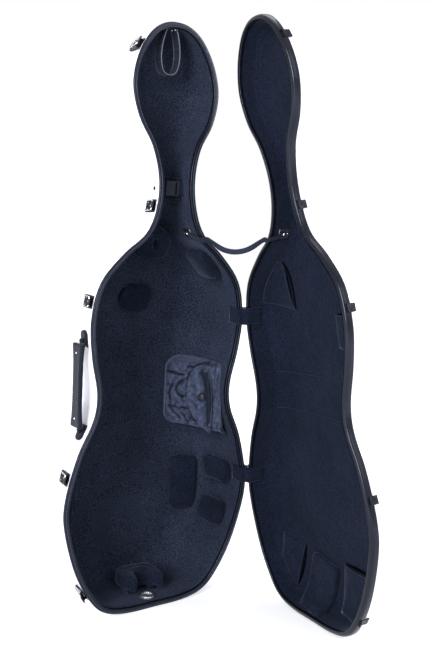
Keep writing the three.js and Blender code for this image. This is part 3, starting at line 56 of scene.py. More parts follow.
# The open case stands on its two bottom ends: the deep half leans a little forward,
# and the lid half is turned about the leaning line of the two hinges.
LENGTH = 1.320
BOUT_HALF = 0.244
BASE_DEPTH = 0.190
LID_DEPTH = 0.086
HINGE_X = 0.27654
HINGE_SIN = 0.10882
TIP = 0.095078
OPEN = math.radians(82.46)
STAND = Vector((-0.035415, 0.173795, 0.000409))
hinge_axis = Vector((-HINGE_SIN, 0, math.sqrt(1 - HINGE_SIN**2)))
swing_open = (
    Matrix.Translation((HINGE_X, 0, 0))
    @ Matrix.Rotation(OPEN, 4, hinge_axis)
    @ Matrix.Translation((-HINGE_X, 0, 0))
)
TO_BASE = Matrix.Translation(STAND) @ Matrix.Rotation(TIP, 4, "X")
TO_LID = TO_BASE @ swing_open
half_place = {"base": TO_BASE, "lid": TO_LID}
half_body = {"base": "case_base", "lid": "lid"}

# The camera stands at chest height in front of the case's free side and looks a little down,
# as the photographer did.
camera_data = bpy.data.cameras.new("camera")
camera = bpy.data.objects.new("camera", camera_data)
scene.collection.objects.link(camera)
scene.camera = camera
PICTURE_HEIGHT = 650
FOCAL_PX = 901.6
SENSOR = 24
camera_data.sensor_fit = "VERTICAL"
camera_data.sensor_height = SENSOR
camera_data.lens = SENSOR * FOCAL_PX / PICTURE_HEIGHT
camera_place = Vector((-1.1053, -1.7327, 0.7994)) + STAND
view_forward = Vector((0.59138, 0.80353, -0.06794)).normalized()
view_up = Vector((0.03180, 0.06095, 0.99763))
view_right = view_forward.cross(view_up).normalized()
view_up = view_right.cross(view_forward).normalized()
view_turn = Matrix((view_right, view_up, -view_forward)).transposed().to_4x4()
camera.matrix_world = Matrix.Translation(camera_place) @ view_turn

# A plain pale studio: white paper floor that runs out into a white room, three soft panels,
# and the case's own soft shadow left on the paper.
scene.view_settings.view_transform = "Standard"


def colour(hex_text):
    """sRGB hex to linear RGBA."""
    parts = [int(hex_text[i : i + 2], 16) / 255 for i in (1, 3, 5)]
    return [*(v / 12.92 if v <= 0.04045 else ((v + 0.055) / 1.055) ** 2.4 for v in parts), 1]


def node(tree, kind, links=(), **values):
    """Adds a shader node, sets its values, and joins (socket, source) pairs."""
    made = tree.nodes.new("ShaderNode" + kind)
    for key, value in values.items():
        if hasattr(made, key):
            setattr(made, key, value)
        else:
            made.inputs[key.replace("_", " ")].default_value = value
    for socket, source in links:
        tree.links.new(source, made.inputs[socket])
    return made


def seen_plainly(tree):
    """1 for rays that show a thing straight, mirrored or through glass, 0 for rays that light others."""
    rays = node(tree, "LightPath").outputs
    seen = node(tree, "Math", [(0, rays["Is Camera Ray"]), (1, rays["Is Glossy Ray"])], operation="MAXIMUM")
    more = [(0, seen.outputs[0]), (1, rays["Is Transmission Ray"])]
    return node(tree, "Math", more, operation="MAXIMUM").outputs[0]


world = bpy.data.worlds.new("room")
scene.world = world
world.use_nodes = True
tree = world.node_tree
tree.nodes.clear()
soft = node(tree, "Background", Color=colour("#EEF1FF"), Strength=0.66)
plain = node(tree, "Background", Color=colour("#FFFFFF"), Strength=1.0)
mixed = node(tree, "MixShader", [(0, seen_plainly(tree)), (1, soft.outputs[0]), (2, plain.outputs[0])])
node(tree, "OutputWorld", [("Surface", mixed.outputs[0])])

FLOOR_HALF = 14
SHADOW_TO = 0.7
PAPER_FROM = 2.6
SHADOW_GLOW = 0.34
floor_mesh = bpy.data.meshes.new("floor")
bm = bmesh.new()
bmesh.ops.create_grid(bm, x_segments=1, y_segments=1, size=FLOOR_HALF)
bm.to_mesh(floor_mesh)
bm.free()
floor = bpy.data.objects.new("floor", floor_mesh)
scene.collection.objects.link(floor)
paper = bpy.data.materials.new("white_paper")
paper.use_nodes = True
tree = paper.node_tree
tree.nodes.clear()
where = node(tree, "TexCoord")
away = node(tree, "VectorMath", [(0, where.outputs["Object"])], operation="LENGTH")
fade = node(
    tree, "MapRange", [("Value", away.outputs["Value"])], interpolation_type="SMOOTHSTEP",
    From_Min=SHADOW_TO, From_Max=PAPER_FROM, To_Min=SHADOW_GLOW, To_Max=1.0,
)
glow = node(tree, "Math", [(0, seen_plainly(tree)), (1, fade.outputs[0])], operation="MULTIPLY")
matt = node(tree, "BsdfDiffuse", Color=colour("#F4F4F4"))
bright = node(tree, "Emission", [("Strength", glow.outputs[0])], Color=colour("#FFFFFF"))
both = node(tree, "AddShader", [(0, matt.outputs[0]), (1, bright.outputs[0])])
node(tree, "OutputMaterial", [("Surface", both.outputs[0])])
floor_mesh.materials.append(paper)

LAMPS_AIM = Vector((0, 0, 0.7))
for name, place, width, height, watts in (
    ("left_strip", (-2.9, -1.7, 1.6), 1.0, 2.0, 150),
    ("right_strip", (2.4, -2.6, 1.7), 0.5, 2.0, 50),
    ("top", (0.2, 0.4, 3.4), 1.8, 1.8, 30),
    ("front_panel", (0.2, -3.4, 2.5), 2.2, 2.2, 34),
):
    lamp = bpy.data.lights.new(name, "AREA")
    lamp.shape = "RECTANGLE"
    lamp.size = width
    lamp.size_y = height
    lamp.energy = watts
    panel = bpy.data.objects.new(name, lamp)
    panel.location = place
    panel.rotation_mode = "QUATERNION"
    panel.rotation_quaternion = (LAMPS_AIM - Vector(place)).to_track_quat("-Z", "Y")
    scene.collection.objects.link(panel)

# Shells: two thin mouldings of fibre-reinforced plastic, laid up over a form and sprayed with
# white gloss lacquer, which leaves a slow waviness and a clear top coat.
outline_shares = [
    (0, 0), (0.287, 0.0004), (0.52, 0.0091), (0.68, 0.0333), (0.857, 0.0894), (0.984, 0.1667),
    (0.995, 0.2197), (0.889, 0.2939), (0.75, 0.35), (0.725, 0.3939), (0.793, 0.4545), (0.82, 0.5152),
    (0.742, 0.5758), (0.525, 0.6227), (0.311, 0.6561), (0.213, 0.697), (0.191, 0.7462), (0.254, 0.797),
    (0.389, 0.8409), (0.453, 0.8902), (0.406, 0.9364), (0.287, 0.975), (0.148, 0.9947), (0, 1),
]
SPANS = len(outline_shares) - 1
OUTLINE_STEPS = 5


def curve_at(points, t):
    """Point and direction on a smooth curve through points, t counted in points."""
    i = min(int(t), len(points) - 2)
    w = t - i
    a, b, c, d = (Vector(points[min(max(k, 0), len(points) - 1)]) for k in (i - 1, i, i + 1, i + 2))
    v0, v1 = (c - a) / 2, (d - b) / 2
    point = (2 * b - 2 * c + v0 + v1) * w**3 + (3 * c - 3 * b - 2 * v0 - v1) * w**2 + v0 * w + b
    along = 3 * (2 * b - 2 * c + v0 + v1) * w**2 + 2 * (3 * c - 3 * b - 2 * v0 - v1) * w + v0
    return point, along.normalized()


rim_points = [(u * BOUT_HALF, v * LENGTH) for u, v in outline_shares]
rim_points = [(-rim_points[1][0], rim_points[1][1]), *rim_points, (-rim_points[-2][0], rim_points[-2][1])]


def outline(inset):
    """Ring of (x, z) round the case, moved inward by inset: up the right side, down the left."""
    right = []
    for k in range(SPANS * OUTLINE_STEPS + 1):
        (x, z), along = curve_at(rim_points, 1 + k / OUTLINE_STEPS)
        right.append((x - along.y * inset, z + along.x * inset))
    right[0] = (0, right[0][1])
    right[-1] = (0, right[-1][1])
    return right + [(-x, z) for x, z in right[-2:0:-1]]


def eased(at, values, t):
    """Smooth interpolation of values at the given places."""
    t = min(max(t, at[0]), at[-1])
    i = max(k for k in range(len(at) - 1) if at[k] <= t)
    t0, t1 = at[i], at[i + 1]
    before, before_value = (at[i - 1], values[i - 1]) if i else (t1, values[i + 1])
    after, after_value = (at[i + 2], values[i + 2]) if i + 2 < len(at) else (t0, values[i])
    wp, wn = (t1 - t0) / 2 / (t0 - before), (t1 - t0) / 2 / (after - t1)
    p = (t - t0) / (t1 - t0)
    return (
        (-wp * p**3 + 2 * wp * p**2 - wp * p) * before_value
        + ((1 + wp) * p**3 + (-1.5 - 2 * wp) * p**2 + (-0.5 + wp) * p + 1) * values[i]
        + ((-1 - wn) * p**3 + (1.5 + wn) * p**2 + 0.5 * p) * values[i + 1]
        + (wn * p**3 - wn * p**2) * after_value
    )


HEAD_RISE = 0.043


def parting(z):
    """Where the joint line lies in depth at a height: it rises toward the back at the head."""
    if z < 0.644 * LENGTH:
        return 0
    return HEAD_RISE * eased((0, 0.644, 0.72, 0.833, 1), (0, 0, 0.116, 0.51, 1), z / LENGTH)


half_side = {"base": 1, "lid": -1}
half_depth = {"base": BASE_DEPTH, "lid": LID_DEPTH}
wall_squareness = {"base": 4.5, "lid": 4}
depth_shares = {
    "base": ((0, 0.2, 0.5, 0.64, 0.73, 0.85, 0.92, 1), (0.895, 1, 0.99, 0.79, 0.516, 0.642, 0.674, 0.579)),
    "lid": ((0, 0.2, 0.5, 0.66, 0.73, 0.85, 0.92, 1), (0.814, 0.977, 1, 0.93, 0.72, 0.395, 0.302, 0.21)),
}
SECTION_STEPS = 5
SPINE_LOW = 0.150
SPINE_TOP_MARGIN = 0.100
WALL_EDGE = 0.0041


def wall_rows(half, inset, less):
    """Rings of wall points from the front edge to the spine of the back."""
    power = 2 / wall_squareness[half]
    at, shares = depth_shares[half]
    knots = []
    for degrees in (0, 20, 38, 55, 72, 90):
        a = math.radians(degrees)
        knots.append((math.cos(a) ** power if degrees < 90 else 0, math.sin(a) ** power))
    start = (2 * knots[0][0] - knots[1][0], 2 * knots[0][1] - knots[1][1])
    knots = [start, *knots, (-knots[-2][0], knots[-2][1])]
    rows = []
    last = 5 * SECTION_STEPS
    for k in range(last + 1):
        (inward, deep), _ = curve_at(knots, 1 + k / SECTION_STEPS)
        if k == last:
            inward = 0
        row = []
        for x, z0 in outline(inset):
            spine = min(max(z0, SPINE_LOW), LENGTH - SPINE_TOP_MARGIN)
            z = spine + (z0 - spine) * inward
            front = parting(z) + half_side[half] * WALL_EDGE
            back = half_side[half] * (half_depth[half] * eased(at, shares, z / LENGTH) - less)
            row.append(Vector((x * inward, front + (back - front) * deep, z)))
        rows.append(row)
    return rows


def piece_of(bm, name, finish, smooth=True):
    """Ends a mesh: merges its seams, turns it outward and makes it an object."""
    bmesh.ops.remove_doubles(bm, verts=bm.verts, dist=1e-6)
    bmesh.ops.dissolve_degenerate(bm, dist=1e-6, edges=bm.edges)
    bmesh.ops.recalc_face_normals(bm, faces=bm.faces)
    for face in bm.faces:
        face.smooth = smooth
    mesh = bpy.data.meshes.new(name)
    bm.to_mesh(mesh)
    bm.free()
    mesh.materials.append(finish)
    piece = bpy.data.objects.new(name, mesh)
    scene.collection.objects.link(piece)
    return piece


def loft(rows, place, round_ring=True):
    """A skin drawn from one ring of points to the next by extruding the first ring's edges."""
    bm = bmesh.new()
    order = bm.verts.layers.int.new("order")
    ring = [bm.verts.new(place @ p) for p in rows[0]]
    for i, vert in enumerate(ring):
        vert[order] = i
    last = len(ring) if round_ring else len(ring) - 1
    edges = [bm.edges.new((ring[i], ring[(i + 1) % len(ring)])) for i in range(last)]
    for row in rows[1:]:
        made = bmesh.ops.extrude_edge_only(bm, edges=edges)["geom"]
        moved = {g for g in made if isinstance(g, bmesh.types.BMVert)}
        for vert in moved:
            vert.co = place @ row[vert[order]]
        edges = [g for g in made if isinstance(g, bmesh.types.BMEdge) and set(g.verts) <= moved]
    return bm


def new_finish(name, shine="#FFFFFF", **values):
    """A material with tinted reflections, and its shader with the named inputs set."""
    made = bpy.data.materials.new(name)
    made.use_nodes = True
    shader = made.node_tree.nodes["Principled BSDF"]
    shader.inputs["Specular Tint"].default_value = colour(shine)
    for key, value in values.items():
        shader.inputs[key.replace("_", " ")].default_value = value
    return made, shader


def pattern(shader, kind, output="Fac", laid=None, **values):
    """A texture in the piece's own coordinates, which are first scaled or turned as laid says."""
    tree = shader.id_data
    where = node(tree, "TexCoord").outputs["Object"]
    if laid:
        where = node(tree, "Mapping", [("Vector", where)], **laid).outputs[0]
    return node(tree, kind, [("Vector", where)], **values).outputs[output]


def ramp(shader, source, *stops):
    """A colour ramp over a pattern, from (place, hex colour) stops."""
    made = node(shader.id_data, "ValToRGB", [(0, source)])
    while len(made.color_ramp.elements) < len(stops):
        made.color_ramp.elements.new(0.5)
    for element, (place, hex_text) in zip(made.color_ramp.elements, stops):
        element.position = place
        element.color = colour(hex_text)
    return made.outputs[0]


def paint(shader, source, *stops):
    """Colours a surface by a ramp over a pattern."""
    shader.id_data.links.new(ramp(shader, source, *stops), shader.inputs["Base Color"])


def vary(shader, source, low, high):
    """Runs a surface's roughness between two values by a pattern."""
    ranged = node(shader.id_data, "MapRange", [("Value", source)], To_Min=low, To_Max=high)
    shader.id_data.links.new(ranged.outputs[0], shader.inputs["Roughness"])


def emboss(shader, *layers):
    """Bumps a surface by (pattern, strength, distance) layers, the coarsest first."""
    below = []
    for height, strength, distance in layers:
        links = [("Height", height), *below]
        bump = node(shader.id_data, "Bump", links, Strength=strength, Distance=distance)
        below = [("Normal", bump.outputs[0])]
    shader.id_data.links.new(bump.outputs[0], shader.inputs["Normal"])


# White two-pack gloss lacquer over laminate: sprayed and polished, clear-coated, with faint cloudiness,
# a slow waviness from the laid-up fibre and fine orange peel (real peel is 1 mm, drawn at 3 mm to show).
lacquer, shader = new_finish("white_gloss_lacquer", Roughness=0.26, Coat_Weight=0.8, Coat_Roughness=0.05)
paint(shader, pattern(shader, "TexNoise", Scale=3.2, Detail=4.0), (0.3, "#E6E8EF"), (0.7, "#F0F1F5"))
peel = pattern(shader, "TexNoise", Scale=330.0, Detail=2.0)
wave = pattern(shader, "TexNoise", Scale=14.0, Detail=2.0)
emboss(shader, (wave, 0.12, 0.004), (peel, 0.06, 0.0004))


def surface_of(piece):
    """A search tree over a finished piece's faces."""
    points = [v.co.copy() for v in piece.data.vertices]
    return BVHTree.FromPolygons(points, [tuple(p.vertices) for p in piece.data.polygons])


SHELL_AT = 0.0021
SHELL_WALL = 0.003
shells = {}
for half in ("base", "lid"):
    outer = wall_rows(half, SHELL_AT, 0)
    inner = wall_rows(half, SHELL_AT + SHELL_WALL, SHELL_WALL)
    shell = piece_of(loft(outer[::-1] + inner, half_place[half]), half + "_shell_moulding", lacquer)
    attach(shell, half_body[half])
    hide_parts(half + "_shell")
    shells[half] = surface_of(shell)

# Linings: 4 mm foam bonded into the shells and covered with dark blue-black velour, pulled over
# the curves by hand; the pile catches light where it is brushed or bent.


def darkened(shader, colours, shade):
    """Colours a surface by two ramps, the second darkening the first."""
    mixed = node(
        shader.id_data, "Mix", [(6, colours), (7, shade)], data_type="RGBA", blend_type="MULTIPLY", Factor=1,
    )
    shader.id_data.links.new(mixed.outputs[2], shader.inputs["Base Color"])


def pile_cloth(name, low, high):
    """Short-pile velour, matt, with a soft sheen. Real pile is 0.5 mm; its speckle is drawn at 2.5 mm."""
    cloth, shader = new_finish(
        name, "#8C9DC8", Roughness=0.95, Specular_IOR_Level=0.2,
        Sheen_Weight=0.3, Sheen_Roughness=0.4, Sheen_Tint=colour("#98A3C0"),
    )
    brushed = pattern(shader, "TexNoise", Scale=8.0, Detail=5.0, Roughness=0.6)
    pile = pattern(shader, "TexNoise", Scale=400.0, Detail=3.0)
    lumps = pattern(shader, "TexNoise", Scale=22.0, Detail=2.0)
    speck = ramp(shader, pile, (0.36, "#7A7A7A"), (0.62, "#FFFFFF"))
    darkened(shader, ramp(shader, brushed, (0.3, low), (0.75, high)), speck)
    emboss(shader, (lumps, 0.35, 0.006), (pile, 0.5, 0.0008))
    return cloth


# Lit and shaded copies of one velour: the base's lining is painted lighter and the lid's darker, so that the
# deep, shaded base reads as bright as the lid.
velour = pile_cloth("navy_velour_painted_darker", "#171C29", "#1F2637")
painted_lighter_velour = pile_cloth("navy_velour_painted_lighter", "#282E3D", "#353D4F")
LINING_AT = 0.0066
LINING = 0.0038
FOAM_GAP = 0.0015
linings = {}
for half, cloth in (("base", painted_lighter_velour), ("lid", velour)):
    less = SHELL_WALL + FOAM_GAP
    outer = wall_rows(half, LINING_AT, less)
    inner = wall_rows(half, LINING_AT + LINING, less + LINING)
    lining = piece_of(loft(outer[::-1] + inner, half_place[half]), half + "_lining_velour", cloth)
    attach(lining, half_body[half])
    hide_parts(half + "_lining")
    linings[half] = surface_of(lining)

# The lid's lining is sewn from three lengths: two cross seams lie in it, each a stitched-down welt.
MM = 0.001


def on_lining(half, start, direction, lift=0.0):
    """The point of a lining met from a local start in a local direction, lifted off it, in world space."""
    place = half_place[half]
    way = (place.to_3x3() @ Vector(direction)).normalized()
    hit, normal, _, _ = linings[half].ray_cast(place @ Vector(start), way)
    if normal.dot(way) > 0:
        normal = -normal
    return hit + normal * lift, normal


def station(height, right, inset):
    """Where the outline is at a height on one side, with its directions along and outward."""
    ring = outline(inset)[: SPANS * OUTLINE_STEPS + 1]
    i = next(k for k, (_, z) in enumerate(ring) if k > 2 and z >= height)
    (x0, z0), (x1, z1) = ring[i - 1], ring[i]
    sign = 1 if right else -1
    start, end = Vector((sign * x0, parting(z0), z0)), Vector((sign * x1, parting(z1), z1))
    along = (end - start).normalized()
    out = Vector((sign * (z1 - z0), 0, x0 - x1)).normalized()
    return start.lerp(end, (height - z0) / (z1 - z0)), along, out


def tube(name, points, radius, finish, body, closed=False):
    """A round cord or welt through points."""
    curve = bpy.data.curves.new(name, "CURVE")
    curve.dimensions = "3D"
    curve.bevel_depth = radius
    curve.bevel_resolution = 2
    curve.use_fill_caps = True
    spline = curve.splines.new("POLY")
    spline.points.add(len(points) - 1)
    for spot, point in zip(spline.points, points):
        spot.co = (*point, 1)
    spline.use_cyclic_u = closed
    spline.use_smooth = True
    curve.materials.append(finish)
    made = bpy.data.objects.new(name, curve)
    scene.collection.objects.link(made)
    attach(made, body)
    return made


# Grosgrain binding tape: black polyester rib, 0.5 mm ribs drawn 1.5 mm apart so that they show.
tape, shader = new_finish(
    "grosgrain_tape", "#8C9DC8", Roughness=0.7, Sheen_Weight=0.15, Sheen_Tint=colour("#98A3C0"),
)
ribs = pattern(shader, "TexWave", Scale=210.0, Distortion=0.6, bands_direction="Z")
paint(shader, ribs, (0.0, "#0B0D14"), (1.0, "#191D28"))
emboss(shader, (ribs, 0.4, 0.0005))

WELT = 0.0011
SEAM_STEPS = 24
SEAM_CLEAR = 0.004
SEAM_SHARE = 0.97
SEAM_RAY_FROM = -0.012
for name, height, lean in (("lid_seam_waist", 0.545, 0.0), ("lid_seam_low", 0.455, 0.02)):
    reach = station(height, True, LINING_AT + LINING + SEAM_CLEAR)[0].x
    welt = []
    for i in range(-SEAM_STEPS, SEAM_STEPS + 1):
        x = reach * i / SEAM_STEPS * SEAM_SHARE
        welt.append(on_lining("lid", (x, SEAM_RAY_FROM, height + lean * x), (0, -1, 0), WELT * 0.4)[0])
    seam = tube(name, welt, WELT, tape, "lid")

# Edge profiles: a black extruded section bent round each half and bonded over the shell's edge. The
# lid's has a deep outer flange that covers the joint; its bent plastic keeps a satin shine.
profile, shader = new_finish("black_extruded_pvc", "#C8D0E6", Specular_IOR_Level=0.36)
# Rigid PVC, bent warm: near black, satin, with fine drag lines and scuffs along its edge.
scuff = pattern(shader, "TexNoise", Scale=70.0, Detail=5.0, Roughness=0.7)
paint(shader, scuff, (0.35, "#080A10"), (0.8, "#10131C"))
vary(shader, scuff, 0.18, 0.26)
emboss(shader, (scuff, 0.06, 0.0004))

# The section's sizes in millimetres: its face, web, inner leg, outer lip and flange, and its corners
RIM_FACE = 0.8
RIM_WEB = 3.8
RIM_INSET = 12.8
RIM_LEG = 8
RIM_LEG_THICK = 1.6
LIP = 1.8
flange_depth = {"base": 6, "lid": 18}
flange_round = {"base": 3, "lid": 10}
corner_rounds = (2.6, 0.7, 0.3, 0.3, 0.2, 0.3, 0.6)
CORNER_STEPS = 8


def rounded_section(corners, radii):
    """Closed section in metres from corners in millimetres, each softened by its own radius."""
    smooth = []
    for i, (corner, radius) in enumerate(zip(corners, radii)):
        here = Vector(corner)
        before = here + (Vector(corners[i - 1]) - here).normalized() * radius
        after = here + (Vector(corners[(i + 1) % len(corners)]) - here).normalized() * radius
        for t in (k / CORNER_STEPS for k in range(CORNER_STEPS + 1)):
            p = before.lerp(here, t).lerp(here.lerp(after, t), t)
            smooth.append((p.x * MM, p.y * MM))
    return smooth


def round_the_case(half, section):
    """Rings round one half for a section of (inset, depth) pairs, closed on its first."""
    rows = []
    for inset, deep in [*section, section[0]]:
        rows.append([Vector((x, parting(z) + half_side[half] * deep, z)) for x, z in outline(inset)])
    return loft(rows, half_place[half])


for half in ("base", "lid"):
    flange, leg = flange_depth[half], RIM_INSET - RIM_LEG_THICK
    corners = [
        (0, RIM_FACE), (RIM_INSET, RIM_FACE), (RIM_INSET, RIM_LEG), (leg, RIM_LEG),
        (leg, RIM_WEB), (LIP, RIM_WEB), (LIP, flange), (0, flange),
    ]
    section = rounded_section(corners, (flange_round[half], *corner_rounds))
    rim = piece_of(round_the_case(half, section), half + "_edge_profile", profile)
    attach(rim, half_body[half])
    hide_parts(half + "_rim")

# The seal: a hollow rubber bead pressed into a groove of the base's edge profile. It closes on the
# lid's edge profile; its round, slightly shiny top draws a fine light line round the case.
rubber, shader = new_finish("black_epdm_rubber", "#8C9DC8")
# Extruded EPDM: black, with the soft shine of an extruded skin and a faint powder bloom.
bloom = pattern(shader, "TexNoise", Scale=90.0, Detail=4.0)
paint(shader, bloom, (0.3, "#1B1F29"), (0.75, "#2C313F"))
vary(shader, bloom, 0.26, 0.4)
emboss(shader, (bloom, 0.2, 0.0004))
bead = rounded_section([(4.2, 0.7), (7.8, 0.7), (7.0, -0.5), (5.0, -0.5)], (0.2, 0.2, 0.9, 0.9))
seal = piece_of(round_the_case("base", bead), "rim_seal_bead", rubber)
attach(seal, "case_base")
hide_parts("rim_seal")

# Hinges: two steel butt hinges, their leaves bent over the edge profiles and screwed to the shells'
# outer walls. Each leaf takes two countersunk screws.
steel, shader = new_finish("zinc_plated_steel", Metallic=1, Base_Color=colour("#8E929A"))
# Zinc plate over pressed steel: grey with a soft shine, finely brushed (0.1 mm lines drawn at 0.8 mm).
line = pattern(shader, "TexNoise", laid={"Scale": (1, 1, 0.06)}, Scale=1200.0, Detail=2.0)
vary(shader, line, 0.24, 0.46)
emboss(shader, (line, 0.2, 0.0003))


def refinish(name, finish):
    """Gives a piece of the frame its finish."""
    for slot in nodes[name].material_slots:
        slot.material = finish


for name in nodes:
    if name.startswith("hinge_leaf"):
        refinish(name, steel)


def basis(x, y, z, at):
    """A frame from three directions and a point."""
    return Matrix.Translation(at) @ Matrix((x, y, z)).transposed().to_4x4()


def wall_frame(half, height, right):
    """A frame on the outside of a wall: x runs back from its front edge, y stands out, z runs along."""
    at, along, out = station(height, right, SHELL_AT)
    back = out.cross(along)
    if back.y * half_side[half] < 0:
        back = -back
    at.y += half_side[half] * WALL_EDGE
    return half_place[half] @ basis(back, out, back.cross(out), at)


def add_screw(bm, place, radius):
    """A countersunk screw head: a low disc with a softened edge and a sunken drive."""
    height = radius * 0.36
    made = bmesh.ops.create_cone(
        bm, cap_ends=True, segments=14, radius1=radius, radius2=radius * 0.8, depth=height, matrix=place
    )["verts"]
    face = place @ Vector((0, 0, height / 2))
    top = next(
        f for v in made for f in v.link_faces
        if len(f.verts) > 4 and (f.calc_center_median() - face).length < height / 4
    )
    bmesh.ops.inset_individual(bm, faces=[top], thickness=radius * 0.4)
    bmesh.ops.translate(bm, verts=top.verts, vec=place.to_3x3() @ Vector((0, 0, -height / 2)))


def facing(at, normal):
    """A frame at a point, its z along a normal."""
    return Matrix.Translation(at) @ normal.to_track_quat("Z", "Y").to_matrix().to_4x4()


RAY_OUT = 0.05


def wall_hit(faces, stand, back, along):
    """Where a ray from outside meets a piece, at a place of a wall's frame, and the normal there."""
    outward = stand.to_3x3() @ Vector((0, 1, 0))
    hit, normal, _, _ = faces.ray_cast(stand @ Vector((back, RAY_OUT, along)), -outward)
    return hit, normal


SCREW = 0.0028
LEAF_BACK = 0.019
LEAF_SCREW_PITCH = 0.028
for half in ("base", "lid"):
    bm = bmesh.new()
    for leaf in ("lower", "upper"):
        low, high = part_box(f"hinge_leaf_{half}_{leaf}")
        middle = half_place[half].inverted() @ ((Vector(low) + Vector(high)) / 2)
        stand = wall_frame(half, middle.z, True)
        leaf_faces = surface_of(nodes[f"hinge_leaf_{half}_{leaf}"])
        for k in (-0.5, 0.5):
            hit, normal = wall_hit(leaf_faces, stand, LEAF_BACK, k * LEAF_SCREW_PITCH)
            if hit is not None:
                add_screw(bm, facing(hit, normal), SCREW)
    screws = piece_of(bm, half + "_hinge_screws", steel, smooth=False)
    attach(screws, half_body[half])

# Hinge covers: a velour flap glued to both linings over each hinge, folded across the joint so that
# the hinge doesn't mark the instrument. It is cut long enough for the lid to turn.


def inside_frame(half, start, direction):
    """A frame on a lining: x across, y up the case, z out of the wall."""
    at, out = on_lining(half, start, direction)
    up = half_place[half].to_3x3() @ Vector((0, 0, 1))
    across = up.cross(out).normalized()
    return basis(across, out.cross(across), out, at)


def web(name, points, widths, width, thickness, finish, steps=5):
    """A strap of webbing: its rounded section drawn along a path, wide along the given directions."""
    spans = len(points) - 1
    rows = []
    for k in range(spans * steps + 1):
        p, along = curve_at(points, k / steps)
        i = min(k // steps, spans - 1)
        wide = widths[i].lerp(widths[i + 1], k / steps - i)
        thin = wide.cross(along).normalized()
        wide = along.cross(thin).normalized()
        ring = []
        for u, v in ((-1, 0), (-0.9, 1), (-0.45, 1.1), (0, 1.15), (0.45, 1.1), (0.9, 1), (1, 0),
                     (0.9, -1), (0.45, -1.1), (0, -1.15), (-0.45, -1.1), (-0.9, -1)):
            ring.append(p + wide * (u * width / 2) + thin * (v * thickness / 2.3))
        rows.append(ring)
    bm = loft(rows, Matrix())
    bmesh.ops.holes_fill(bm, edges=[e for e in bm.edges if e.is_boundary], sides=0)
    return piece_of(bm, name, finish)


def stitches(name, path, spacing, length, thickness, finish, body):
    """A row of sewn stitches: short rounded threads set end to end with gaps, on (point, normal) pairs."""
    bm = bmesh.new()
    left = 0.0
    for (a, normal), (b, _) in zip(path, path[1:]):
        run = (b - a).length
        along = (b - a).normalized()
        side = normal.cross(along).normalized()
        while left < run:
            at = a + along * left + normal * (thickness * 0.35)
            shape = Matrix.Diagonal((thickness, thickness * 0.8, length / 2, 1))
            place = basis(side, normal, along, at) @ shape
            bmesh.ops.create_uvsphere(bm, u_segments=6, v_segments=4, radius=1, matrix=place)
            left += spacing
        left -= run
    row = piece_of(bm, name, finish)
    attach(row, body)
    return row


# Bonded nylon sewing thread: grey-blue, twisted; drawn 1.2 mm thick, twice its real size, to show.
thread, shader = new_finish("bonded_nylon_thread", Roughness=0.5, Sheen_Weight=0.2)
twist = pattern(shader, "TexWave", Scale=400.0, Distortion=1.0, bands_direction="DIAGONAL")
paint(shader, twist, (0.0, "#3A3F4C"), (1.0, "#525867"))

COVER_WIDTH = 0.038
COVER_THICK = 0.0014
COVER_REACH = 0.034
COVER_LIFT = 0.0033
COVER_OUTWARD = 0.35
SEAL_FROM = 0.004
hinge_heights = {"lower": 0.2897, "upper": 0.6798}
for name, height in hinge_heights.items():
    inner = station(height, True, RIM_INSET * MM + COVER_LIFT)[0]
    outer = station(height, True, SEAL_FROM)[0]
    inward = Vector((-COVER_LIFT, 0, 0))
    base_side, lid_side = [], []
    for half, side, out in (("base", 1, base_side), ("lid", -1, lid_side)):
        wall, _ = on_lining(half, (0, side * COVER_REACH, height), (1, 0, 0))
        out.append(half_place[half].inverted() @ wall + inward)
        out.append(Vector((inner.x, side * COVER_REACH / 2, inner.z)))
        out.append(Vector((inner.x, side * (RIM_FACE * MM - COVER_LIFT), inner.z)))
    lid_side = [swing_open @ p for p in lid_side][::-1]
    middle = base_side[2].lerp(lid_side[0], 0.5).lerp(outer, COVER_OUTWARD)
    fold = [TO_BASE @ p for p in (*base_side, middle, *lid_side)]
    wide = (TO_BASE.to_3x3() @ hinge_axis).normalized()
    cover = web(f"hinge_cover_{name}_flap", fold, [wide] * len(fold), COVER_WIDTH, COVER_THICK, velour)
    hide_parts("hinge_cover_" + name)
    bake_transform(cover)

# Toggle latches, five on the free side: a pressed steel plate riveted to the shell, a lever on a pivot
# pin and a sprung wire bail. Thrown open they stand back along the wall, wire loop outward.
nickel, shader = new_finish("nickel_plated_steel", Metallic=1, Base_Color=colour("#D3D4D6"))
# Bright nickel over steel wire and pressings: warm grey, clear reflections, slight rub marks.
vary(shader, pattern(shader, "TexNoise", Scale=160.0, Detail=5.0, Roughness=0.7), 0.08, 0.3)

gunmetal, shader = new_finish("black_nickel_plate", Metallic=1)
# Black nickel on pressed plate: dark grey metal with a satin shine, worn lighter in small rubs.
rubs = pattern(shader, "TexNoise", Scale=110.0, Detail=5.0, Roughness=0.7)
paint(shader, rubs, (0.35, "#1E1F24"), (0.75, "#3A3C43"))
vary(shader, rubs, 0.2, 0.42)


def add_dome(bm, place, size, around=10, up=6):
    """A domed rivet head: a ball pressed to the given half sizes."""
    shape = place @ Matrix.Diagonal((*size, 1))
    bmesh.ops.create_uvsphere(bm, u_segments=around, v_segments=up, radius=1, matrix=shape)


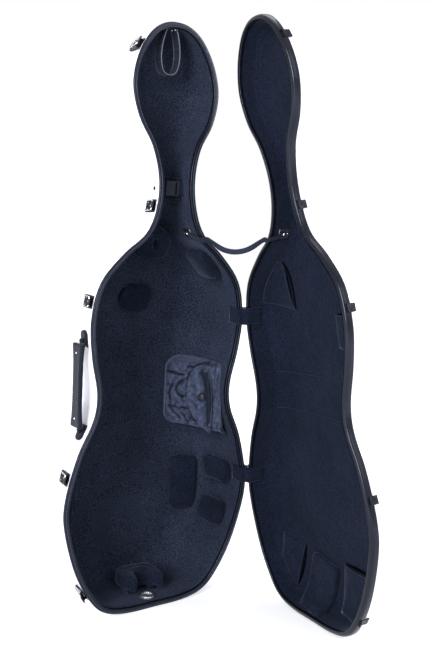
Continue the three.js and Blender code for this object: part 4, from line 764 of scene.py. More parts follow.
latch_shares = {1: 0.9576, 2: 0.7015, 3: 0.5432, 4: 0.253, 5: 0.047}
PLATE_RIVET = 0.0018
RIVET_PLACES = ((0.028, 0.0), (0.039, 0.0075), (0.039, -0.0075))
bm = bmesh.new()
for number, share in latch_shares.items():
    for part, finish in (("plate", gunmetal), ("lever", gunmetal), ("bail", nickel)):
        refinish(f"latch_{part}_{number}", finish)
    stand = wall_frame("base", share * LENGTH, False)
    plate_faces = surface_of(nodes[f"latch_plate_{number}"])
    for back, along in RIVET_PLACES:
        hit, normal = wall_hit(plate_faces, stand, back, along)
        if hit is not None:
            add_dome(bm, facing(hit, normal), (PLATE_RIVET, PLATE_RIVET, PLATE_RIVET * 0.2))
rivets = piece_of(bm, "latch_rivets", nickel)
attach(rivets, "case_base")

# Keepers: a bent steel hook on the lid's flange opposite each latch, riveted to the shell behind it.
# The bail's far bar drops behind its lip.
KEEPER_PLATE = 0.0015
KEEPER_HALF = 0.009
KEEPER_FROM = 0.0085
KEEPER_TO = 0.0330
KEEPER_STEP = 0.0190
KEEPER_LIP_AT = 0.01255
KEEPER_SEAT = 0.0003
KEEPER_LIP = 0.0015
KEEPER_LIP_TOP = 0.007
KEEPER_EDGE = 0.0004
KEEPER_RIVET_BACK = 0.0265
KEEPER_RIVET_ALONG = 0.0055


def raised(ring, rise):
    """A plate raised from a ring of points, and the edges of its upper face."""
    bm = bmesh.new()
    face = bm.faces.new([bm.verts.new(p) for p in ring])
    made = bmesh.ops.extrude_face_region(bm, geom=[face])["geom"]
    bmesh.ops.translate(bm, verts=[g for g in made if isinstance(g, bmesh.types.BMVert)], vec=rise)
    upper = [g for g in made if isinstance(g, bmesh.types.BMFace)]
    return bm, list({e for f in upper for e in f.edges})


def ease_edges(bm, edges, width, segments):
    """Rounds edges over."""
    bmesh.ops.bevel(
        bm, geom=edges, offset=width, segments=segments, profile=0.5, affect="EDGES", material=-1,
    )


for number, share in latch_shares.items():
    to_lid = TO_LID @ TO_BASE.inverted() @ wall_frame("base", share * LENGTH, False)
    foot = SHELL_AT - KEEPER_SEAT
    top = foot + KEEPER_PLATE
    lip = KEEPER_LIP - KEEPER_LIP_AT
    corners = [
        (-KEEPER_TO, KEEPER_SEAT), (-KEEPER_STEP, KEEPER_SEAT), (-KEEPER_STEP, foot), (-KEEPER_FROM, foot),
        (-KEEPER_FROM, top), (lip, top), (lip, KEEPER_LIP_TOP), (-KEEPER_LIP_AT, KEEPER_LIP_TOP),
        (-KEEPER_LIP_AT, top), (-KEEPER_TO, top),
    ]
    bm, _ = raised([(x, y, -KEEPER_HALF) for x, y in corners], (0, 0, 2 * KEEPER_HALF))
    ease_edges(bm, bm.edges[:], KEEPER_EDGE, 2)
    for z in (-KEEPER_RIVET_ALONG, KEEPER_RIVET_ALONG):
        spot = Matrix.Translation((-KEEPER_RIVET_BACK, top, z))
        add_dome(bm, spot, (PLATE_RIVET, PLATE_RIVET * 0.6, PLATE_RIVET))
    bmesh.ops.transform(bm, matrix=to_lid, verts=bm.verts)
    keeper = piece_of(bm, f"latch_keeper_{number}", gunmetal, smooth=False)
    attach(keeper, "lid")

# Carrying handle: a stiff core wrapped in black leather, sewn along both edges, hung on pins between
# two leather-covered tabs that are riveted to the shell.
leather, shader = new_finish("black_cowhide", "#9AA6C8", Specular_IOR_Level=0.35)
# Full-grain cowhide, dyed and waxed: near black, fine pebble (0.6 mm grain drawn at 1.5 mm), a little
# lighter in soft patches.
grain = pattern(shader, "TexVoronoi", "Distance", Scale=700.0)
crease = pattern(shader, "TexNoise", Scale=60.0, Detail=5.0, Roughness=0.6)
paint(shader, crease, (0.35, "#0C0D12"), (0.8, "#1A1C24"))
vary(shader, crease, 0.36, 0.56)
emboss(shader, (crease, 0.25, 0.0008), (grain, 0.3, 0.0004))


def recast(name, node_name, voxel, smoothing, finish, tucks=0.0):
    """A soft-edged piece grown from a frame node: closed, remeshed evenly, and eased by smoothing."""
    bm = bmesh.new()
    bm.from_mesh(nodes[node_name].data)
    bmesh.ops.remove_doubles(bm, verts=bm.verts, dist=1e-5)
    mesh = bpy.data.meshes.new(name)
    bm.to_mesh(mesh)
    bm.free()
    made = bpy.data.objects.new(name, mesh)
    scene.collection.objects.link(made)
    remesh = made.modifiers.new("even", "REMESH")
    remesh.mode = "VOXEL"
    remesh.voxel_size = voxel
    even = bpy.data.meshes.new_from_object(made.evaluated_get(bpy.context.evaluated_depsgraph_get()))
    made.modifiers.clear()
    made.data = even
    bm = bmesh.new()
    bm.from_mesh(even)
    for _ in range(smoothing):
        bmesh.ops.smooth_vert(
            bm, verts=bm.verts, factor=0.5, use_axis_x=True, use_axis_y=True, use_axis_z=True,
        )
    if tucks:
        bm.normal_update()
        for vert in bm.verts:
            vert.co += vert.normal * (tucks * noise(vert.co * 55) + tucks * 0.5 * noise(vert.co * 140))
    for face in bm.faces:
        face.smooth = True
    bm.to_mesh(even)
    bm.free()
    even.materials.clear()
    even.materials.append(finish)
    even.name = name
    return made


TAB_BACK = 0.030
TAB_OUT = 0.009
tab_shares = {"lower": 0.3288, "upper": 0.4803}
tab_stands = {name: wall_frame("base", share * LENGTH, False) for name, share in tab_shares.items()}
eyes = [stand @ Vector((TAB_BACK, TAB_OUT, 0)) for stand in tab_stands.values()]
grip_middle = (eyes[0] + eyes[1]) / 2
grip_along = (eyes[1] - eyes[0]).normalized()
grip_out = grip_along.cross(TO_BASE.to_3x3() @ Vector((0, 1, 0))).normalized()
if grip_out.x > 0:
    grip_out = -grip_out
grip_across = grip_along.cross(grip_out)

GRIP_EDGE = 0.0135
GRIP_FLARE = 0.22
GRIP_WAIST = 0.02
GRIP_HALF_SPAN = 0.082
grip = recast("handle_grip_leather", "handle_grip", 0.002, 3, leather, tucks=0.0002)
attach(grip, "handle")
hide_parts("handle_grip")
for vert in grip.data.vertices:
    from_middle = vert.co - grip_middle
    t = min(1, abs(from_middle.dot(grip_along)) / GRIP_HALF_SPAN)
    vert.co += grip_across * (from_middle.dot(grip_across) * (GRIP_FLARE * t**4 - GRIP_WAIST * (1 - t * t)))
grip_faces = surface_of(grip)


def grip_hit(along, across):
    """Where a ray from outside meets the grip, at a place along and across it, and the normal there."""
    start = grip_middle + grip_along * along + grip_across * across + grip_out * RAY_OUT
    hit, normal, _, _ = grip_faces.ray_cast(start, -grip_out)
    return hit, normal


SEAM_PULL = 0.0019
SEAM_SPOTS = 20
STITCH_SPACING = 0.0062
STITCH_LENGTH = 0.0042
STITCH_THICK = 0.0006
for k, side in enumerate((-1, 1)):
    path = []
    for t in (i / SEAM_SPOTS for i in range(-SEAM_SPOTS, SEAM_SPOTS + 1)):
        hit, normal = grip_hit(t * GRIP_HALF_SPAN, side * (GRIP_EDGE - SEAM_PULL * (1 - t * t)))
        if hit is not None:
            path.append((hit, normal))
    row = stitches(
        f"handle_stitches_{k + 1}", path, STITCH_SPACING, STITCH_LENGTH, STITCH_THICK, thread, "handle",
    )
GRIP_RIVET = 0.0026
GRIP_RIVET_AT = 0.072
bm = bmesh.new()
for side in (-1, 1):
    hit, normal = grip_hit(side * GRIP_RIVET_AT, 0)
    if hit is not None:
        add_dome(bm, facing(hit, normal), (GRIP_RIVET, GRIP_RIVET, GRIP_RIVET * 0.5), 14, 8)
rivets = piece_of(bm, "handle_grip_rivets", nickel)
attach(rivets, "handle")

# Each tab: a folded strap of the same hide round a steel core, cut round at its end and riveted down.
TONGUE_HALF = 0.0115
TONGUE_NEAR = -0.009
TONGUE_FAR = 0.022
TONGUE_THICK = 0.0060
TONGUE_SEAT = 0.0004
TONGUE_EDGE = 0.0016
TONGUE_STEPS = 10
for name, stand in tab_stands.items():
    tab = recast(f"handle_tab_{name}_leather", f"handle_tab_{name}", 0.0013, 2, leather)
    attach(tab, "case_base")
    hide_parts(f"handle_tab_{name}")
    outward = stand.to_3x3() @ Vector((0, 1, 0))
    away = 1 if name == "upper" else -1
    if (stand.to_3x3() @ Vector((0, 0, 1))).z < 0:
        away = -away
    ring = [(TAB_BACK - TONGUE_HALF, TONGUE_NEAR), (TAB_BACK + TONGUE_HALF, TONGUE_NEAR)]
    for k in range(TONGUE_STEPS + 1):
        a = math.pi * k / TONGUE_STEPS
        z = TONGUE_FAR - TONGUE_HALF + TONGUE_HALF * math.sin(a)
        ring.append((TAB_BACK + TONGUE_HALF * math.cos(a), z))
    foot = [wall_hit(shells["base"], stand, x, away * z)[0] + outward * TONGUE_SEAT for x, z in ring]
    bm, edges = raised(foot, outward * TONGUE_THICK)
    ease_edges(bm, edges, TONGUE_EDGE, 3)
    tongue = piece_of(bm, f"handle_tongue_{name}", leather)
    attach(tongue, "case_base")

# Feet: moulded rubber blocks screwed to the bottom ends, matt and a little dusty.
foot_rubber, shader = new_finish("black_moulded_rubber", "#8C9DC8", Roughness=0.72)
# Natural rubber moulding: matt black, bloomed grey in patches, with fine mould texture.
dust = pattern(shader, "TexNoise", Scale=45.0, Detail=5.0)
paint(shader, dust, (0.35, "#121316"), (0.8, "#2A2B2F"))
emboss(shader, (dust, 0.3, 0.0005))
for name in nodes:
    if "_foot_" in name:
        refinish(name, foot_rubber)

# Stay strap: 12 mm polyester webbing between two steel anchor plates, slack enough to hang in a bow
# when the lid stands at a right angle.


def crossed(shader, one, two):
    """Two patterns multiplied."""
    return node(shader.id_data, "Math", [(0, one), (1, two)], operation="MULTIPLY").outputs[0]


def woven(shader, fineness, unevenness):
    """A plain weave: bands up and bands across."""
    bands = {"Scale": fineness, "Distortion": unevenness}
    return crossed(shader, *(pattern(shader, "TexWave", bands_direction=way, **bands) for way in "ZX"))


webbing, shader = new_finish(
    "polyester_webbing", "#8C9DC8", Roughness=0.62, Sheen_Weight=0.2, Sheen_Tint=colour("#9AA0AE"),
)
# Flat woven webbing: blue-black, plain weave with 1 mm picks drawn at 1.6 mm, slight lustre.
weave = woven(shader, 190.0, 0.4)
paint(shader, weave, (0.0, "#10131B"), (1.0, "#262B38"))
emboss(shader, (weave, 0.5, 0.0005))

STAY_HEIGHT = 0.6576 * LENGTH
STAY_WIDTH = 0.012
STAY_THICK = 0.0016
STAY_FALL = 0.012
STAY_OVER = 0.003
STAY_EDGE_IN = 0.016
STAY_SAG = 0.026
STAY_GAP = 0.0003
ANCHOR_THICK = 0.0024
ANCHOR_RIVET = 0.0042
ANCHOR_SCREW = 0.0018
ANCHOR_SCREW_AT = 0.0095
stay_back = {"base": 0.048, "lid": 0.035}


def stay_run(half):
    """One end of the strap: from its anchor along the wall, over the edge profile and past it."""
    side = half_side[half]
    anchor = inside_frame(half, (0, side * stay_back[half], STAY_HEIGHT), (1, 0, 0))
    local = half_place[half].inverted() @ anchor
    start = local @ Vector((0, 0, ANCHOR_THICK + STAY_GAP + STAY_THICK / 2))
    low = STAY_HEIGHT - STAY_FALL
    lip, lip_along, _ = station(low + STAY_FALL / 3, True, RIM_INSET * MM + STAY_OVER)
    over, over_along, _ = station(low, True, RIM_INSET * MM + STAY_OVER / 2)
    past, past_along, _ = station(low, True, LIP * MM)
    lip.y = side * STAY_EDGE_IN
    over.y = -side * STAY_OVER
    past.y = -side * 2 * STAY_OVER
    wide = local.to_3x3() @ Vector((0, 1, 0))
    points = [start, start.lerp(lip, 0.5), lip, over, past]
    return points, [wide, wide, lip_along, over_along, past_along], anchor


near_points, near_widths, near_anchor = stay_run("base")
far_points, far_widths, far_anchor = stay_run("lid")
far_points = [swing_open @ p for p in far_points][::-1]
far_widths = [swing_open.to_3x3() @ w for w in far_widths][::-1]
bow = []
for t in (0.25, 0.5, 0.75):
    p = near_points[-1].lerp(far_points[0], t)
    p.z -= 4 * STAY_SAG * t * (1 - t)
    bow.append(p)
strap_points = [TO_BASE @ p for p in (*near_points, *bow, *far_points)]
strap_widths = [*near_widths, *[Vector((0, 0, 1))] * 3, *far_widths]
strap_widths = [TO_BASE.to_3x3() @ w for w in strap_widths]
stay = web("stay_strap_webbing", strap_points, strap_widths, STAY_WIDTH, STAY_THICK, webbing)
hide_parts("stay_strap")
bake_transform(stay)
for half, anchor in (("base", near_anchor), ("lid", far_anchor)):
    refinish("stay_anchor_" + half, steel)
    bm = bmesh.new()
    for across, height, radius in (
        (0, ANCHOR_THICK + STAY_GAP + STAY_THICK, ANCHOR_RIVET),
        (-ANCHOR_SCREW_AT, ANCHOR_THICK, ANCHOR_SCREW),
        (ANCHOR_SCREW_AT, ANCHOR_THICK, ANCHOR_SCREW),
    ):
        spot = anchor @ Matrix.Translation((across, 0, height))
        add_dome(bm, spot, (radius, radius, radius * 0.55), 14, 8)
    rivets = piece_of(bm, f"stay_rivets_{half}", nickel)
    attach(rivets, half_body[half])

# Scroll loop: a 24 mm ribbon of webbing riveted to the head's top wall, which the scroll is slipped into.
LOOP_X = -0.010
LOOP_FOOT = 0.93 * LENGTH
LOOP_BACK = 0.064
LOOP_HALF = 0.026
LOOP_DROP = 0.098
LOOP_DOWN = 0.0015
LOOP_WEB = 0.024
LOOP_THICK = 0.0018
LOOP_EDGE = 0.0011
LOOP_STEPS = 5
LOOP_RIVET_DOWN = 0.003
LOOP_RIVET = (0.0032, 0.0032, 0.002)
LOOP_RIVET_SHARE = 0.44
LOOP_RIVET_BACK = 0.006
# Its right half from the bottom up, in shares of its half-width and its drop
right_shape = [(0, 1.0), (0.62, 0.93), (0.9, 0.68), (0.86, 0.4), (0.62, 0.12), (0.44, 0.004)]
loop_shape = [(-x, drop) for x, drop in right_shape[:0:-1]] + right_shape
loop_top, _ = on_lining("base", (LOOP_X, LOOP_BACK, LOOP_FOOT), (0, 0, 1))
loop_top = TO_BASE.inverted() @ loop_top
loop_path = []
for x, drop in loop_shape:
    z = loop_top.z - LOOP_DOWN - drop * LOOP_DROP
    loop_path.append(TO_BASE @ Vector((LOOP_X + x * LOOP_HALF, LOOP_BACK, z)))
deep = TO_BASE.to_3x3() @ Vector((0, 1, 0))
loop = web("scroll_loop_ribbon", loop_path, [deep] * len(loop_path), LOOP_WEB, LOOP_THICK, webbing)
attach(loop, "case_base")
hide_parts("scroll_loop")
# Two cords of the lighter thread along the ribbon's edges: a painted highlight where its edges catch the
# light.
for k, side in enumerate((-1, 1)):
    spots = (curve_at(loop_path, i / LOOP_STEPS)[0] for i in range((len(loop_path) - 1) * LOOP_STEPS + 1))
    edge = [p + deep * (side * LOOP_WEB / 2) for p in spots]
    edge_tube = tube(f"scroll_loop_painted_edge_highlight_{k + 1}", edge, LOOP_EDGE, thread, "case_base")
bm = bmesh.new()
for x, y in product((-LOOP_RIVET_SHARE, LOOP_RIVET_SHARE), (-LOOP_RIVET_BACK, LOOP_RIVET_BACK)):
    at = TO_BASE @ Vector((LOOP_X + x * LOOP_HALF, LOOP_BACK + y, loop_top.z - LOOP_RIVET_DOWN))
    add_dome(bm, Matrix.Translation(at), LOOP_RIVET, 12)
rivets = piece_of(bm, "loop_rivets", nickel)
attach(rivets, "case_base")

# Neck cradle: a firm foam bridge covered in velour across the neck, with a round groove for the neck.
cradle = recast("neck_cradle_velour", "neck_cradle", 0.0032, 5, velour, tucks=0.0006)
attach(cradle, "case_base")
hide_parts("neck_cradle")

# Neck strap: 26 mm webbing in two lengths, closed over the neck by a side-release buckle. The free
# length is threaded through the plug and its end is folded back and sewn.
CRADLE_Z = 0.7311 * LENGTH
STRAP_FRONT = 0.0401
STRAP_BACK = 0.0417
NECK_STRAP = 0.026
STRAP_SAG = 0.0008
STRAP_DRAWN = 0.0004
STRAP_STEPS = 6
for name in ("neck_strap_fixed", "neck_strap_free"):
    across = [(TO_BASE.inverted() @ Vector(corner)).x for corner in product(*zip(*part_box(name)))]
    left, right = min(across), max(across)
    run = []
    for t in (k / STRAP_STEPS for k in range(STRAP_STEPS + 1)):
        x = left + (right - left) * t
        y = (STRAP_FRONT + STRAP_BACK) / 2 - STRAP_DRAWN * math.sin(math.pi * t)
        run.append(TO_BASE @ Vector((x, y, CRADLE_Z + STRAP_SAG * math.sin(2 * math.pi * t))))
    up = (TO_BASE.to_3x3() @ Vector((0, 0, 1))).normalized()
    strap = web(name + "_webbing", run, [up] * len(run), NECK_STRAP, STRAP_BACK - STRAP_FRONT, webbing)
    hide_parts(name)
    if name == "neck_strap_free":
        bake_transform(strap)
    else:
        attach(strap, "case_base")

# Side-release buckle: acetal, moulded, satin black, worn lighter in small patches.
acetal, shader = new_finish("black_acetal", "#A8B2D0", IOR=1.48)
wear = pattern(shader, "TexNoise", Scale=220.0, Detail=5.0, Roughness=0.7)
paint(shader, wear, (0.4, "#16171B"), (0.85, "#34363D"))
vary(shader, wear, 0.28, 0.5)
emboss(shader, (wear, 0.12, 0.0003))
for part in ("socket", "plug"):
    refinish("buckle_" + part, acetal)

# Pads of the base: foam cushions in velour covers, closed round the edge with a piped seam and held to
# the lining by hook tape, so that a player can move them to suit the instrument.
# Their velour is the same cloth, coloured darker than the base's lining.
pad_velour = pile_cloth("pad_velour", "#151A26", "#20283A")

# Start in shares of half-width, depth and length; direction; then in millimetres the width, height,
# thickness, corner radius and how far the middle crowns
pad_list = {
    "oval_pad": ((0.016, 0.3, 0.534), (0, 1, 0), 90, 64, 14, 31, 2.0),
    "heel_support": ((0, 0.3, 0.6455), (0, 1, 0), 90, 72, 58, 24, 3.0),
    "shoulder_pad": ((0.246, 0.337, 0.576), (0.83, 0, 0.55), 70, 92, 24, 16, 4.0),
    "side_pad_a": ((0.49, 0.3, 0.178), (0.45, 1, 0), 70, 140, 22, 16, 4.0),
    "side_pad_b": ((0, 0.463, 0.2144), (1, 0, 0), 94, 62, 22, 14, 4.0),
    "side_pad_c": ((0, 0.425, 0.1333), (1, 0, 0), 90, 64, 20, 14, 4.0),
    "side_pad_d": ((0, 0.42, 0.2084), (-1, 0, 0), 90, 140, 34, 18, 4.0),
    "side_pad_e": ((0, 0.42, 0.125), (-1, 0, 0), 90, 62, 24, 14, 4.0),
}


SWELL_STEPS = 20


def swell(piece, pressure, most):
    """Fills a cushion: its cover is blown up a little against its own stretch, no point moving past most."""
    rest = [v.co.copy() for v in piece.data.vertices]
    cloth = piece.modifiers.new("cover", "CLOTH")
    cloth.settings.quality = 4
    cloth.settings.use_pressure = True
    cloth.settings.uniform_pressure_force = pressure
    cloth.settings.effector_weights.gravity = 0
    cloth.settings.tension_stiffness = 20
    cloth.settings.compression_stiffness = 20
    cloth.settings.bending_stiffness = 2
    cloth.point_cache.frame_start = 1
    cloth.point_cache.frame_end = SWELL_STEPS
    for step in range(1, SWELL_STEPS + 1):
        scene.frame_set(step)
    blown = piece.evaluated_get(bpy.context.evaluated_depsgraph_get()).data
    moved = [v.co.copy() for v in blown.vertices]
    piece.modifiers.remove(cloth)
    for vert, start, end in zip(piece.data.vertices, rest, moved):
        step = end - start
        if step.length > most:
            step *= most / step.length
        vert.co = start + step
    scene.frame_set(1)


def rounded_path(width, height, corner, steps=6):
    """Points round a rectangle with round corners, centred on the origin."""
    corner = min(corner, width * 0.48, height * 0.48)
    points = []
    for cx, cy, start in ((1, 1, 0), (-1, 1, 90), (-1, -1, 180), (1, -1, 270)):
        for k in range(steps + 1):
            a = math.radians(start + 90 * k / steps)
            points.append((cx * (width / 2 - corner) + corner * math.cos(a),
                           cy * (height / 2 - corner) + corner * math.sin(a)))
    full = []
    for i, (x, y) in enumerate(points):
        nx, ny = points[(i + 1) % len(points)]
        count = max(1, round(math.hypot(nx - x, ny - y) / 0.006))
        full.extend((x + (nx - x) * k / count, y + (ny - y) * k / count) for k in range(count))
    return full


PIPING = 0.0012
PAD_TUCK = 0.0012
PAD_CREASE = 0.0005
PAD_PRESSURE = 3.0
PAD_SWELL = 0.003
THICK_PAD = 18
seam_inset = {"thick": 9, "thin": 6}
for name, (start, direction, width, height, thick, corner, crown) in pad_list.items():
    start = Vector((start[0] * BOUT_HALF, start[1] * BASE_DEPTH, start[2] * LENGTH))
    stand = inside_frame("base", start, direction)
    back_to_pad = stand.inverted()
    outward = stand.to_3x3() @ Vector((0, 0, 1))
    cushion = recast(name + "_cushion", name, 0.004, 4, pad_velour)
    for vert in cushion.data.vertices:
        p = back_to_pad @ vert.co
        u, v = min(abs(p.x) / (width * MM / 2), 1), min(abs(p.y) / (height * MM / 2), 1)
        lift = max(0, min(1, p.z / (thick * MM)))
        rise = crown * MM * (1 - u**2.5) * (1 - v**2.5) * lift - PAD_TUCK * lift
        tuck = PAD_TUCK * noise(vert.co * 42) + PAD_CREASE * noise(vert.co * 120)
        vert.co += outward * (rise + tuck * lift)
    swell(cushion, PAD_PRESSURE, PAD_SWELL)
    faces = surface_of(cushion)
    seam = []
    inset = seam_inset["thick" if thick > THICK_PAD else "thin"]
    for x, y in rounded_path(width * MM - inset * MM, height * MM - inset * MM, corner * MM):
        hit, normal, _, _ = faces.ray_cast(stand @ Vector((x, y, thick * MM * 2)), -outward)
        if hit is not None:
            seam.append(hit + normal * PIPING * 0.35)
    finer = cushion.modifiers.new("finer", "SUBSURF")
    finer.levels = finer.render_levels = 1
    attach(cushion, "case_base")
    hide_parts(name)
    if len(seam) > 12:
        piping = tube(name + "_piping", seam, PIPING, pad_velour, "case_base", closed=True)

# Endpin block: a horseshoe of foam in velour that the cello's foot sits in, on a smaller foot that fills
# the end of the case; its top is quilted in a step that follows the notch.
block = recast("endpin_block_velour", "endpin_block", 0.003, 4, pad_velour, tucks=0.0006)
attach(block, "case_base")
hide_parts("endpin_block")
# The right half of each line of its piping, in millimetres of its plan
block_piping = {
    "outer": [(42, 37), (45, 62), (49, 88), (44, 108), (32, 116), (12, 119), (0, 119)],
    "notch": [(30, 37), (25, 52), (21, 66), (19, 75), (12, 83), (0, 85)],
    "quilted": [(36, 37), (36, 52), (38, 70), (36, 88), (28, 99), (14, 104), (0, 105)],
}
ABOVE_BLOCK = 0.09
LEVEL_ENOUGH = 0.3
BLOCK_STEPS = 5
block_faces = surface_of(block)
block_down = TO_BASE.to_3x3() @ Vector((0, 0, -1))
for name, right_half in block_piping.items():
    line = right_half + [(-x, y) for x, y in right_half[-2::-1]]
    run = []
    for k in range((len(line) - 1) * BLOCK_STEPS + 1):
        (x, y), _ = curve_at(line, k / BLOCK_STEPS)
        hit, normal, _, _ = block_faces.ray_cast(TO_BASE @ Vector((x * MM, y * MM, ABOVE_BLOCK)), block_down)
        if hit is not None and normal.z > LEVEL_ENOUGH:
            run.append(hit + normal * PIPING * 0.3)
    if len(run) > 8:
        piping = tube(f"endpin_block_{name}_piping", run, PIPING, pad_velour, "case_base")

# Endpin cup: a turned aluminium rest for the endpin, its floor cross-hatched so that the pin holds.
alloy, shader = new_finish("turned_aluminium", Metallic=1, Roughness=0.42)
# Cast aluminium, turned and cut: pale grey, satin, its hatch 1.6 mm apart drawn at 3 mm.
cuts = {"Scale": 105.0, "bands_direction": "DIAGONAL", "wave_profile": "SAW"}
one_way = pattern(shader, "TexWave", **cuts)
other_way = pattern(shader, "TexWave", laid={"Rotation": (0, 0, math.pi / 2)}, **cuts)
hatch = crossed(shader, one_way, other_way)
paint(shader, hatch, (0.0, "#83868C"), (0.35, "#D4D6DA"))
emboss(shader, (hatch, 0.6, 0.0008))
refinish("endpin_cup", alloy)

# Accessory pouch: a bag of coated nylon across the corner of the lower bout, sewn down round its edge
# under piping. The nylon is cut full, so it creases where the bag isn't filled.
nylon, shader = new_finish(
    "crinkled_nylon", "#8C9DC8", Roughness=0.5, Sheen_Weight=0.35, Sheen_Tint=colour("#A3ACC8"),
)
# Coated nylon taffeta: slate grey-blue, low shine, a 0.5 mm weave drawn at 2 mm, small creases. Its
# folds and the mouth behind the flap are darkened by the fold attribute: painted shade.
mottle = pattern(shader, "TexNoise", Scale=110.0, Detail=5.0, Roughness=0.6)
folded = node(shader.id_data, "Attribute", attribute_name="fold").outputs["Fac"]
painted_fold_shade = ramp(shader, folded, (0.06, "#FFFFFF"), (0.45, "#07080D"))
darkened(shader, ramp(shader, mottle, (0.34, "#181C28"), (0.68, "#3F465B")), painted_fold_shade)
emboss(shader, (woven(shader, 160.0, 1.5), 0.5, 0.0005), (mottle, 0.8, 0.003))

POUCH_TOP = 0.4242 * LENGTH
POUCH_BOTTOM = 0.2917 * LENGTH
POUCH_MIDDLE = (POUCH_TOP + POUCH_BOTTOM) / 2
POUCH_HALF = (POUCH_TOP - POUCH_BOTTOM) / 2
POUCH_CORNER = 0.030
POUCH_LEFT = 0.146
POUCH_RIGHT_TOP = -0.013
POUCH_RIGHT_BOTTOM = -0.024
POUCH_EASE = 0.022
POUCH_STEPS = 72
NYLON_THICK = 0.0012
FLAP_HINGE_SHARE = 0.861
line_from = Vector((0.381 * BOUT_HALF, 0.884 * BASE_DEPTH, 0))
line_to = Vector((0.705 * BOUT_HALF, 0.022, 0))
toward_back = (line_from - line_to).normalized()
into_pouch = toward_back.cross(Vector((0, 0, 1)))
flap_foot = line_from.lerp(line_to, FLAP_HINGE_SHARE)
flap_foot.z = POUCH_MIDDLE
POUCH = TO_BASE @ basis(toward_back, Vector((0, 0, 1)), into_pouch, flap_foot)
pouch_in = POUCH.to_3x3() @ Vector((0, 0, 1))

# Creases of the bag and the fold down the flap, each a run of (x, y) in millimetres on the pouch's face
bag_creases = [
    [(128, 52), (112, 50), (88, 47), (60, 56)],
    [(66, 44), (84, 36), (98, 24), (104, 10), (90, -5), (70, -1)],
    [(118, -30), (98, -36), (76, -33), (50, -34)],
    [(120, -36), (104, -48), (88, -60)],
    [(46, -28), (58, -50), (68, -74)],
    [(112, 22), (120, 2), (118, -18)],
    [(76, 68), (58, 72), (34, 70)],
    [(94, -44), (78, -50), (72, -64)],
    # Beside the flap's free edge: its painted shade stands in for the flap's shadow on the bag.
    [(24, 83), (46, 78), (61, 62), (71, 38), (72, 12), (67, -14), (50, -47), (22, -70)],
]
flap_creases = [[(27, 60), (17, 34), (11, 2), (7, -30), (3, -60)]]
FLAP_FOLD = 0.012


def fold_depth(lines, x, y, width):
    """How deep a point lies in the nearest folds, from their valleys and the ridges beside them."""
    deep = 0
    for line in lines:
        near = min((px - x) ** 2 + (py - y) ** 2 for px, py in line)
        away = math.sqrt(near) / width
        deep += math.exp(-away * away) - 0.45 * math.exp(-((away - 2.2) ** 2))
    return deep


def fold_lines(lines):
    """The folds as closely spaced points in metres."""
    fine = []
    for line in lines:
        spots = (curve_at(line, k / 8)[0] for k in range((len(line) - 1) * 8 + 1))
        fine.append([(p.x * MM, p.y * MM) for p in spots])
    return fine


def keep_folds(piece, depths):
    """Stores how deep each point lies in a fold, for the cloth's material to paint shade by."""
    layer = piece.data.attributes.new("fold", "FLOAT", "POINT")
    for spot, vert in zip(layer.data, piece.data.vertices):
        p = POUCH.inverted() @ vert.co
        spot.value = depths(p.x, p.y)


MOUTH_NEAR = 0.004
MOUTH_FAR = 0.060
MOUTH_HALF = 0.066
MOUTH_SOFT = 0.012
MOUTH_SEWN_SOFT = 0.008


def near_mouth(x, y):
    """From 0 to 1, how far a point of the face lies over the mouth behind the flap."""
    ends = (
        (MOUTH_FAR - x) / MOUTH_SOFT, (x - MOUTH_NEAR) / MOUTH_SEWN_SOFT, (MOUTH_HALF - abs(y)) / MOUTH_SOFT,
    )
    return math.prod(max(0, min(1, end)) for end in ends)


def thicken(piece, thickness):
    """Gives a cloth its thickness, half to each side."""
    solid = piece.modifiers.new("cloth", "SOLIDIFY")
    solid.thickness = thickness
    solid.offset = 0


RAY_BEFORE = -0.03
BAG_SEAT = 0.0012
BAG_FACE = 0.0010
MOUTH_DEEP = 0.0110
CREASE_DEEP = 0.0062
CREASE_WIDTH = 0.0038
CRUMPLE = 0.0012
CRINKLE = 0.0014
RETURN_IN = 0.002
RETURN_DEEP = 0.016
RETURN_SUNK = 0.0008


bag_lines = fold_lines(bag_creases)
rows = []
for j in range(POUCH_STEPS + 1):
    s = 0.5 - 0.5 * math.cos(math.pi * j / POUCH_STEPS)
    row, floors = [], []
    for k in range(POUCH_STEPS + 1):
        t = math.sin(math.pi / 2 * (2 * k / POUCH_STEPS - 1))
        right = POUCH_RIGHT_TOP + (POUCH_RIGHT_BOTTOM - POUCH_RIGHT_TOP) * (1 - t) / 2
        x = POUCH_LEFT + (right - POUCH_LEFT) * s
        short = max(0, POUCH_CORNER - (POUCH_LEFT - x))
        half = POUCH_HALF - (POUCH_CORNER - math.sqrt(POUCH_CORNER**2 - short**2))
        y = half * t
        hit, _, _, _ = linings["base"].ray_cast(POUCH @ Vector((x, y, RAY_BEFORE)), pouch_in)
        floor_z = (POUCH.inverted() @ hit).z - BAG_SEAT
        floors.append(floor_z)
        round_x, round_y = POUCH_CORNER - (POUCH_LEFT - x), POUCH_CORNER - (POUCH_HALF - abs(y))
        edge = min(POUCH_LEFT - x, POUCH_HALF - abs(y))
        if round_x > 0 and round_y > 0:
            edge = POUCH_CORNER - math.hypot(round_x, round_y)
        e = min(1, max(0, edge / POUCH_EASE))
        face = BAG_FACE + MOUTH_DEEP * near_mouth(x, y)
        face += CREASE_DEEP * e * fold_depth(bag_lines, x, y, CREASE_WIDTH) * (1 - near_mouth(x, y))
        face += CRUMPLE * e * noise(Vector((x * 60, y * 48, 3.0)))
        face += CRINKLE * e * abs(noise(Vector((x * 130, y * 100, 6.0))))
        z = face + (floor_z - face) * (1 - e) ** 2.4
        row.append(Vector((x, y, min(z, floor_z))))
    rows.append(row)
back_row = []
for p, floor_z in zip(rows[-1], floors):
    back_row.append(Vector((p.x + RETURN_IN, p.y, min(p.z + RETURN_DEEP, floor_z + RETURN_SUNK))))
rows.append(back_row)
